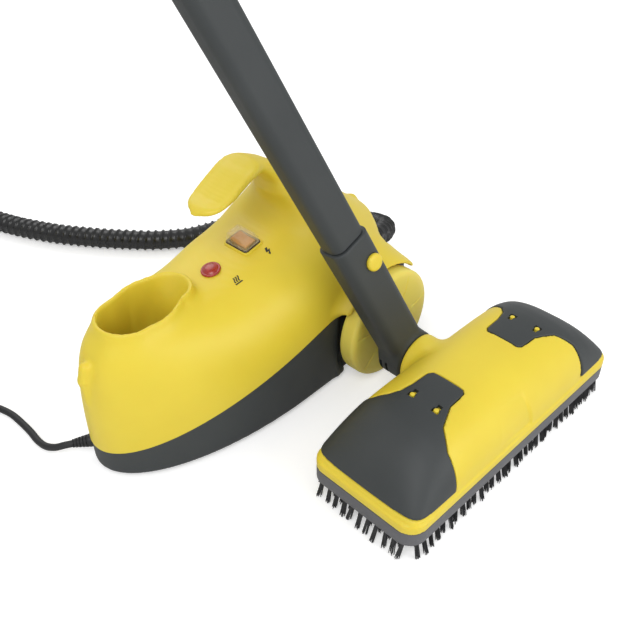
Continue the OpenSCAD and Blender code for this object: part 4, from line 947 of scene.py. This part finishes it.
def rim_rings():
    rings = []
    for z, inset in ((19.0, 1.4), (19.4, 0.5), (20.4, 0), (31.6, 0), (32.4, 0.25), (32.85, 1.0), (32.9, 3)):
        rings.append([(x, y, z) for x, y in rounded(BRUSH_L - inset, BRUSH_W - inset, 16 - inset, 12)])
    rings.append([(x, y, 22.5) for x, y in rounded(BRUSH_L - 3, BRUSH_W - 3, 13, 12)])
    return rings


rim = piece("brush_rim", *lofted(rim_rings()), "canister", "rim_plastic", ("brush_base",), ROW, sharp=35)

# ---- elbow ----


def in_wand(x, y, z):
    c, s = math.cos(math.radians(12)), math.sin(math.radians(12))
    return x, y * c - z * s, y * s + z * c


step = 1.15
lo, far = (-28, -42, -28), (28, 62, 152)
x, y, z = axes(lo, far, step)
bx, by, bt = in_wand(x, y, z)
barrel = both(np.hypot(x, z) - (24.3 - np.clip(y - 12, 0, 5) - 1.1 * (y < -10)), -11.9 - y, 1.0)
barrel = both(barrel, y - 17, 2.5)
arm = both(both(box2(bx, by, 19, 15, 9.5), bt - 148.8, 1.2), -4 - bt, 3)
field = join(barrel, arm, 6)
spigot = np.maximum(np.maximum(np.hypot(x, z) - 15.9, y + 8), -36.8 - y)
field = np.minimum(both(field, -11.9 - y, 0.8), spigot)
elbow = raw("elbow_moulding", *skin(field, lo, step), SWIVEL)
TURN = SWIVEL.step((0, 0, 0), rotation("X", -90))


def arc_cut(inner, outer, first, last, z0, z1):
    a = np.radians(np.linspace(first, last, 16))
    ring = [(outer * math.cos(t), outer * math.sin(t)) for t in a]
    ring += [(inner * math.cos(t), inner * math.sin(t)) for t in a[::-1]]
    return ring, z0, z1


BUTTON_X, SEAT = 7, 28
ELBOW, TUBE = 149, 440
FRONT = rotation("X", 90)


def seat(t):
    return WAND.step((BUTTON_X, 0, t), FRONT)


def button_bores(end):
    """The holes for the release button and its spring, near the socket's end."""
    at = seat(end - SEAT)
    return [prism(circle(7.95), 11.8, 30, at), prism(circle(4.2, 32), 6, 14, at)]


cuts = [prism(*arc_cut(20.6, 34, 95, 200, 2 + 6.6 * k, 4.9 + 6.6 * k), TURN) for k in range(3)]
carve(elbow, cuts + [prism(rounded(14.2, 10.2, 5.2), 103, 170, WAND)] + button_bores(ELBOW))
dress(elbow, "wand", "charcoal_plastic", ("swivel_elbow",), 40)

# ---- extension tubes ----


def tube_rings(length):
    """Spigot, sleeve and flared socket, with eased ends, then the bore back down."""
    rings = []

    def add(t, hx, hy, r):
        rings.append([(x, y, t) for x, y in rounded(hx, hy, r, 10)])

    add(-44, 13, 9, 4)
    add(-42.8, 14, 10, 5)
    add(0.1, 14, 10, 5)
    add(0.15, 16.2, 12.2, 8.4)
    add(0.9, 17, 13, 9)
    add(length - 51, 17, 13, 9)
    add(length - 48, 17.4, 13.4, 9.1)
    add(length - 44, 18.7, 14.7, 9.4)
    add(length - 42, 19, 15, 9.5)
    add(length - 1.1, 19, 15, 9.5)
    add(length - 0.3, 18.4, 14.4, 9.2)
    add(length - 0.2, 14.2, 10.2, 5.2)
    add(length - 45.5, 14.2, 10.2, 5.2)
    return rings


for k, (name, node) in enumerate((("tube_sleeve_lower", "lower_tube"), ("tube_sleeve_upper", "upper_tube"))):
    base = ELBOW + TUBE * k
    sleeve = facing_out(raw(name, *lofted(tube_rings(TUBE)), WAND.step((0, 0, base))))
    carve(sleeve, [prism(circle(5.0, 40), -50, 400, WAND.step((0, 0, base)))] + button_bores(base + TUBE))
    dress(sleeve, "wand", "charcoal_plastic", (node,), 35)

BUTTON = [(0, 9.6), (3.9, 9.6), (3.9, 15), (7.5, 15), (7.7, 15.3), (7.7, 16.6), (7.5, 17.6), (6.9, 18.3),
          (5.8, 18.8), (4, 19), (2, 19), (0, 19)]
for name, node, body, t in (("elbow_press", "elbow_button", "elbow_release", ELBOW),
                            ("tube_press", "tube_button", "tube_release", ELBOW + TUBE),
                            ("gun_press", "gun_button", "gun_release", GUN_T)):
    piece(name, *revolve(BUTTON, 48), body, "yellow_plastic", (node,), seat(t - SEAT), sharp=50)

# ---- steam gun ----

GUN_SIDE = [(-17, 0), (17, 0), (17, 34), (22, 56), (40, 74), (70, 82), (100, 79), (125, 70), (139, 104),
            (112, 113), (70, 119), (32, 118), (4, 110), (-12, 92), (-17, 66)]
step = 1.4
lo, far = (-19, -20, -3), (19, 142, 122)
x, y, z = axes(lo, far, step)
side = polygon2(y + 0 * z, z + 0 * y, GUN_SIDE)
edge, flat = side + 7, np.abs(x) - 10
field = np.hypot(np.maximum(edge, 0), np.maximum(flat, 0)) + np.minimum(np.maximum(edge, flat), 0) - 7
BUTT = GUN.step((0, 132, 89), rotation("X", -112))
for sx, name, node in ((-1, "gun_shell_left", "gun_left"), (1, "gun_shell_right", "gun_right")):
    half = both(field, 0.12 - sx * x + 0 * field, 0.3)
    gun = raw(name, *skin(half, lo, step), GUN)
    carve(gun, [prism([(-6.5, 26), (6.5, 26), (6.5, 78), (-6.5, 78)], 54, 94, GUN),
                prism(circle(12.05), -40, 20, BUTT),
                prism([(-3.2, 52), (3.2, 52), (3.2, 76), (-3.2, 76)], 108, 128, GUN),
                prism(circle(5.0, 40), -10, 40, GUN)])
    if sx > 0:
        carve(gun, [prism(rounded(14, 10, 5), -44, 3, GUN)], "UNION")
        carve(gun, [prism(circle(5.0, 40), -50, 8, GUN)])
    dress(gun, "wand", "charcoal_plastic", (node,), 40)


def cuff(lead_r, lead):
    """A ribbed sleeve on the end of the hose."""
    line = [(10.9, 0), (lead_r - 0.5, 0), (lead_r, 0.5), (lead_r, lead)]
    for k in range(4):
        z = lead + 0.2 + 2.9 * k
        line += [(r, z + dz) for r, dz in ((14.1, 0), (14.5, 0.4), (14.5, 1.6), (14.1, 2.0), (13.3, 2.1),
                                           (13.3, 2.8))]
    return line + [(13.3, lead + 11.8), (12.9, lead + 12), (11.6, lead + 12), (10.9, lead + 11.6)]


piece("cuff_canister", *revolve(cuff(13, 6), 56), "canister", "black_plastic", ("hose_cuff",),
      CANISTER.step((64, 0, 66), rotation("Y", 90)), sharp=30)
piece("cuff_gun", *revolve(cuff(12, 9), 56), "wand", "black_plastic", ("gun_cuff",),
      BUTT.step((0, 0, -6)), sharp=30)

# ---- switch, lamp, symbols and cap ----


def stacked(rings):
    """Rounded rectangles (half sizes, corner, height), outside up and inside down, closed into a ring."""
    verts, faces = lofted([[(x, y, z) for x, y in rounded(hx, hy, r, 8)] for hx, hy, r, z in rings])
    n = len(verts) // len(rings)
    last = (len(rings) - 1) * n
    return verts, faces[:-2] + [(last + j, last + (j + 1) % n, (j + 1) % n, j) for j in range(n)]


LONGER = 4  # each ring of the switch is this much longer than wide, at each side
SURROUND = [(11.4, 3.9, -4), (11.5, 4, 0.4), (11.2, 3.9, 1.2), (10.6, 3.6, 1.6), (10.0, 3.2, 1.5),
            (9.8, 3.1, 1.0), (9.8, 3.1, -4)]
BEZEL = [(8.6, 1.8, -20), (8.6, 1.8, -0.9), (9.7, 3, -0.8), (9.7, 3, 2.0), (9.3, 2.8, 2.45),
         (7.6, 1.6, 2.45), (7.3, 1.4, 2.1), (6.6, 1, -8), (6.6, 1, -19.9)]
COVER = [(8.9, 2.8, 2.5), (9.4, 3, 2.9), (9.4, 3, 5.8), (9.2, 3, 6.4), (8.2, 3, 6.7), (8.0, 3, 10.4),
         (7.5, 2.8, 11.2), (6.6, 2.4, 11.5), (0.3, 0.2, 11.5), (0.3, 0.2, 10.3), (6.4, 2, 10.2),
         (7.0, 2, 9.6), (7.2, 2, 2.5)]
for name, rings, look, nodes, sharp in (("switch_surround", SURROUND, "yellow_plastic", (), 50),
                                        ("switch_bezel", BEZEL, "bezel_brown", ("switch_frame",), 40),
                                        ("switch_cover", COVER, "amber_clear", ("splash_cover",), 40)):
    rings = [(hx, hx + LONGER * (hx > 1), r, z) for hx, r, z in rings]
    piece(name, *stacked(rings), "canister", look, nodes, SWITCH, sharp=sharp)


def rocker_rings():
    """The rocker's cross-section: a shallow V, eased at its ends."""
    prof = [(2.5, -3.5), (9.4, 1.6), (9.6, 2.2), (9.6, 4.5), (9.1, 4.95), (5, 4.3), (1, 3.75)]
    prof = [(-a, b) for a, b in prof[1:]] + prof[:0:-1] + [(2.5, -3.5), (-2.5, -3.5)]
    rings = []
    for x, shrink in ((-6.2, 0.93), (-5.8, 1), (5.8, 1), (6.2, 0.93)):
        rings.append([(x, a * shrink, 1 + (b - 1) * shrink) for a, b in prof])
    return rings


ROCKER = SWITCH.step((0, 0, 0), rotation("X", 6))
rocker = raw("rocker_key", *lofted(rocker_rings()), ROCKER)
ROCKER_PIN = revolve([(0, -7.6), (1.49, -7.6), (1.49, 7.6), (0, 7.6)], 32)
carve(rocker, [solid(*ROCKER_PIN, ROCKER.step((0, 0, 0), rotation("Y", 90)))], "UNION")
dress(rocker, "rocker", "rocker_amber", ("switch_rocker",), 30)
piece("lamp_dome", *revolve([(0, -2), (6.9, -6), (6.9, -0.1), (8.8, -0.1), (9.0, 0.2), (8.9, 0.9), (8.3, 1.3),
                             (7.4, 1.35), (7.0, 1.2), (6.6, 1.6), (5.6, 2.3), (4.2, 2.85), (2.2, 3.1),
                             (0, 3.15)], 56),
      "canister", "lamp_red", ("lamp_lens",), LAMP, sharp=60)


def on_shell(points, lift=0.14):
    """Points of the (u, v) plane, let down onto the shell."""
    out = []
    inverse = shell.matrix_world.inverted()
    for u, v in points:
        start = Vector(CANISTER.out((u, v, 260)) * MM)
        _, at, normal, _ = shell.ray_cast(inverse @ start, Vector((0, 0, -1)))
        out.append(tuple(np.array(at) / MM + np.array(normal) * lift))
    return out


def decal(outline):
    """A small printed mark, thin and closed, lying on the shell."""
    top, low = on_shell(outline, 0.16), on_shell(outline, -0.25)
    n = len(top)
    faces = [tuple(range(n)), tuple(range(2 * n - 1, n - 1, -1))]
    faces += [(k, n + k, n + (k + 1) % n, (k + 1) % n) for k in range(n)]
    return top + low, faces


def marks(name, at, turn, size, shapes):
    verts, faces = [], []
    c, s = math.cos(math.radians(turn)), math.sin(math.radians(turn))
    for shape in shapes:
        outline = [(at[0] + size * (x * c - y * s), at[1] + size * (x * s + y * c)) for x, y in shape]
        v, f = decal(outline)
        faces += [tuple(i + len(verts) for i in face) for face in f]
        verts += v
    piece(name, verts, faces, "canister", "symbol_ink", ())


BOLT = [(-0.15, 1), (0.4, 1), (0.12, 0.3), (0.62, 0.3), (0.12, -0.62), (0.34, -0.56), (-0.08, -1),
        (-0.36, -0.44), (-0.16, -0.54), (0.08, -0.1), (-0.5, -0.1)]


def plume(x0):
    left = [(x0 + 0.16 * math.sin(3.4 * t), t) for t in np.linspace(-0.75, 0.75, 9)]
    return [(x - 0.15, y) for x, y in left] + [(x + 0.15, y) for x, y in left[::-1]]


marks("symbol_power", (-89.5, -25.4), -9, 4.2, [BOLT])
marks("symbol_steam", (-128.2, -26), -9, 3.7, [plume(-0.55), plume(0), plume(0.55),
                                            [(-0.95, -1.3), (0.95, -1.3), (0.95, -1.0), (-0.95, -1.0)]])


def cap_mesh():
    verts, faces = revolve([(13.6, 0), (17.2, 0), (17.8, 0.6), (17.8, 13.4), (17.2, 14.8), (15.6, 15.7),
                            (12, 16), (6, 15.6), (0, 15.4)], 144, close=False)
    v = np.array(verts)
    r, a = np.hypot(v[:, 0], v[:, 1]), np.arctan2(v[:, 1], v[:, 0])
    rib = np.clip(np.cos(18 * a), -0.2, 1) * np.clip((r - 14) / 3, 0, 1)
    v[:, :2] *= (1 + 1.1 * rib / np.maximum(r, 1))[:, None]
    return v, faces


cap = raw("cap_grip", *cap_mesh(), CANISTER.step((FILLER_U, 0, 81)))
dress(cap, "cap", "black_plastic", ("safety_cap",), 40)

# ---- the CAD's own pieces that stay: procedural finish and eased edges ----

STAYS = {"steel": ["boiler_tank", "heating_element", "thermal_fuse", "rear_axle", "axle_caps", "base_screws",
                   "neck_ring", "button_springs", "trigger_spring"],
         "copper_pipe": ["steam_pipe"], "wire_sheath": ["wire_loom"],
         "white_plastic": ["terminal_block", "lamp_body", "lower_pipe", "upper_pipe"],
         "seal_rubber": ["cap_washer", "neck_seal", "tube_seals"],
         "yellow_plastic": ["gun_trigger", "trigger_lock"]}
looks = {n: look for look, names in STAYS.items() for n in names}
for n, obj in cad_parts.items():
    if obj.hide_render:
        continue
    look = LOOK[looks.get(n, "black_plastic")]
    obj.data.materials.clear()
    obj.data.materials.append(look)
    weld = obj.modifiers.new("weld", "WELD")
    weld.merge_threshold = 0.00002
    ease_edge = obj.modifiers.new("bevel", "BEVEL")
    ease_edge.width, ease_edge.segments, ease_edge.limit_method = 0.0004, 2, "ANGLE"
    ease_edge.angle_limit = math.radians(40)

# ---- stage ----

floor = raw("floor", np.array([(-9, -9, 0), (9, -9, 0), (9, 9, 0), (-9, 9, 0)]) / MM, [(0, 1, 2, 3)])
paper = bpy.data.materials.new("pale_floor")
paper.use_nodes = True
nodes, links = paper.node_tree.nodes, paper.node_tree.links
shader = nodes["Principled BSDF"]
shader.inputs["Base Color"].default_value = (0.8, 0.8, 0.8, 1)
shader.inputs["Roughness"].default_value = 0.9
shader.inputs["Specular IOR Level"].default_value = 0.1
path, lift, glow, add = [nodes.new("ShaderNode" + kind)
                         for kind in ("LightPath", "Math", "Emission", "AddShader")]
lift.operation = "MULTIPLY"
lift.inputs[1].default_value = 0.42
links.new(path.outputs["Is Camera Ray"], lift.inputs[0])
links.new(lift.outputs[0], glow.inputs["Strength"])
links.new(shader.outputs[0], add.inputs[0])
links.new(glow.outputs[0], add.inputs[1])
links.new(add.outputs[0], nodes["Material Output"].inputs["Surface"])
floor.data.materials.append(paper)

world = scene.world = bpy.data.worlds.new("studio")
world.use_nodes = True
nodes, links = world.node_tree.nodes, world.node_tree.links
path, level = nodes.new("ShaderNodeLightPath"), nodes.new("ShaderNodeMapRange")
level.inputs["To Min"].default_value, level.inputs["To Max"].default_value = 0.68, 1.0
nodes["Background"].inputs["Color"].default_value = (1, 1, 1, 1)
links.new(path.outputs["Is Camera Ray"], level.inputs["Value"])
links.new(level.outputs["Result"], nodes["Background"].inputs["Strength"])


def lamp(name, at, to, size, watts):
    data = bpy.data.lights.new(name, "AREA")
    data.shape, data.size, data.energy = "DISK", size, watts
    obj = bpy.data.objects.new(name, data)
    obj.location = at
    obj.rotation_mode = "QUATERNION"
    obj.rotation_quaternion = (Vector(to) - Vector(at)).to_track_quat("-Z", "Y")
    scene.collection.objects.link(obj)


lamp("key", (-1.2, -0.5, 1.8), (0, 0.15, 0.1), 1.2, 17)
lamp("fill", (0.3, -1.7, 0.8), (0.05, 0.1, 0.08), 1.4, 13)
lamp("back", (0.4, 1.9, 1.6), (0, 0.2, 0.1), 1.4, 10)
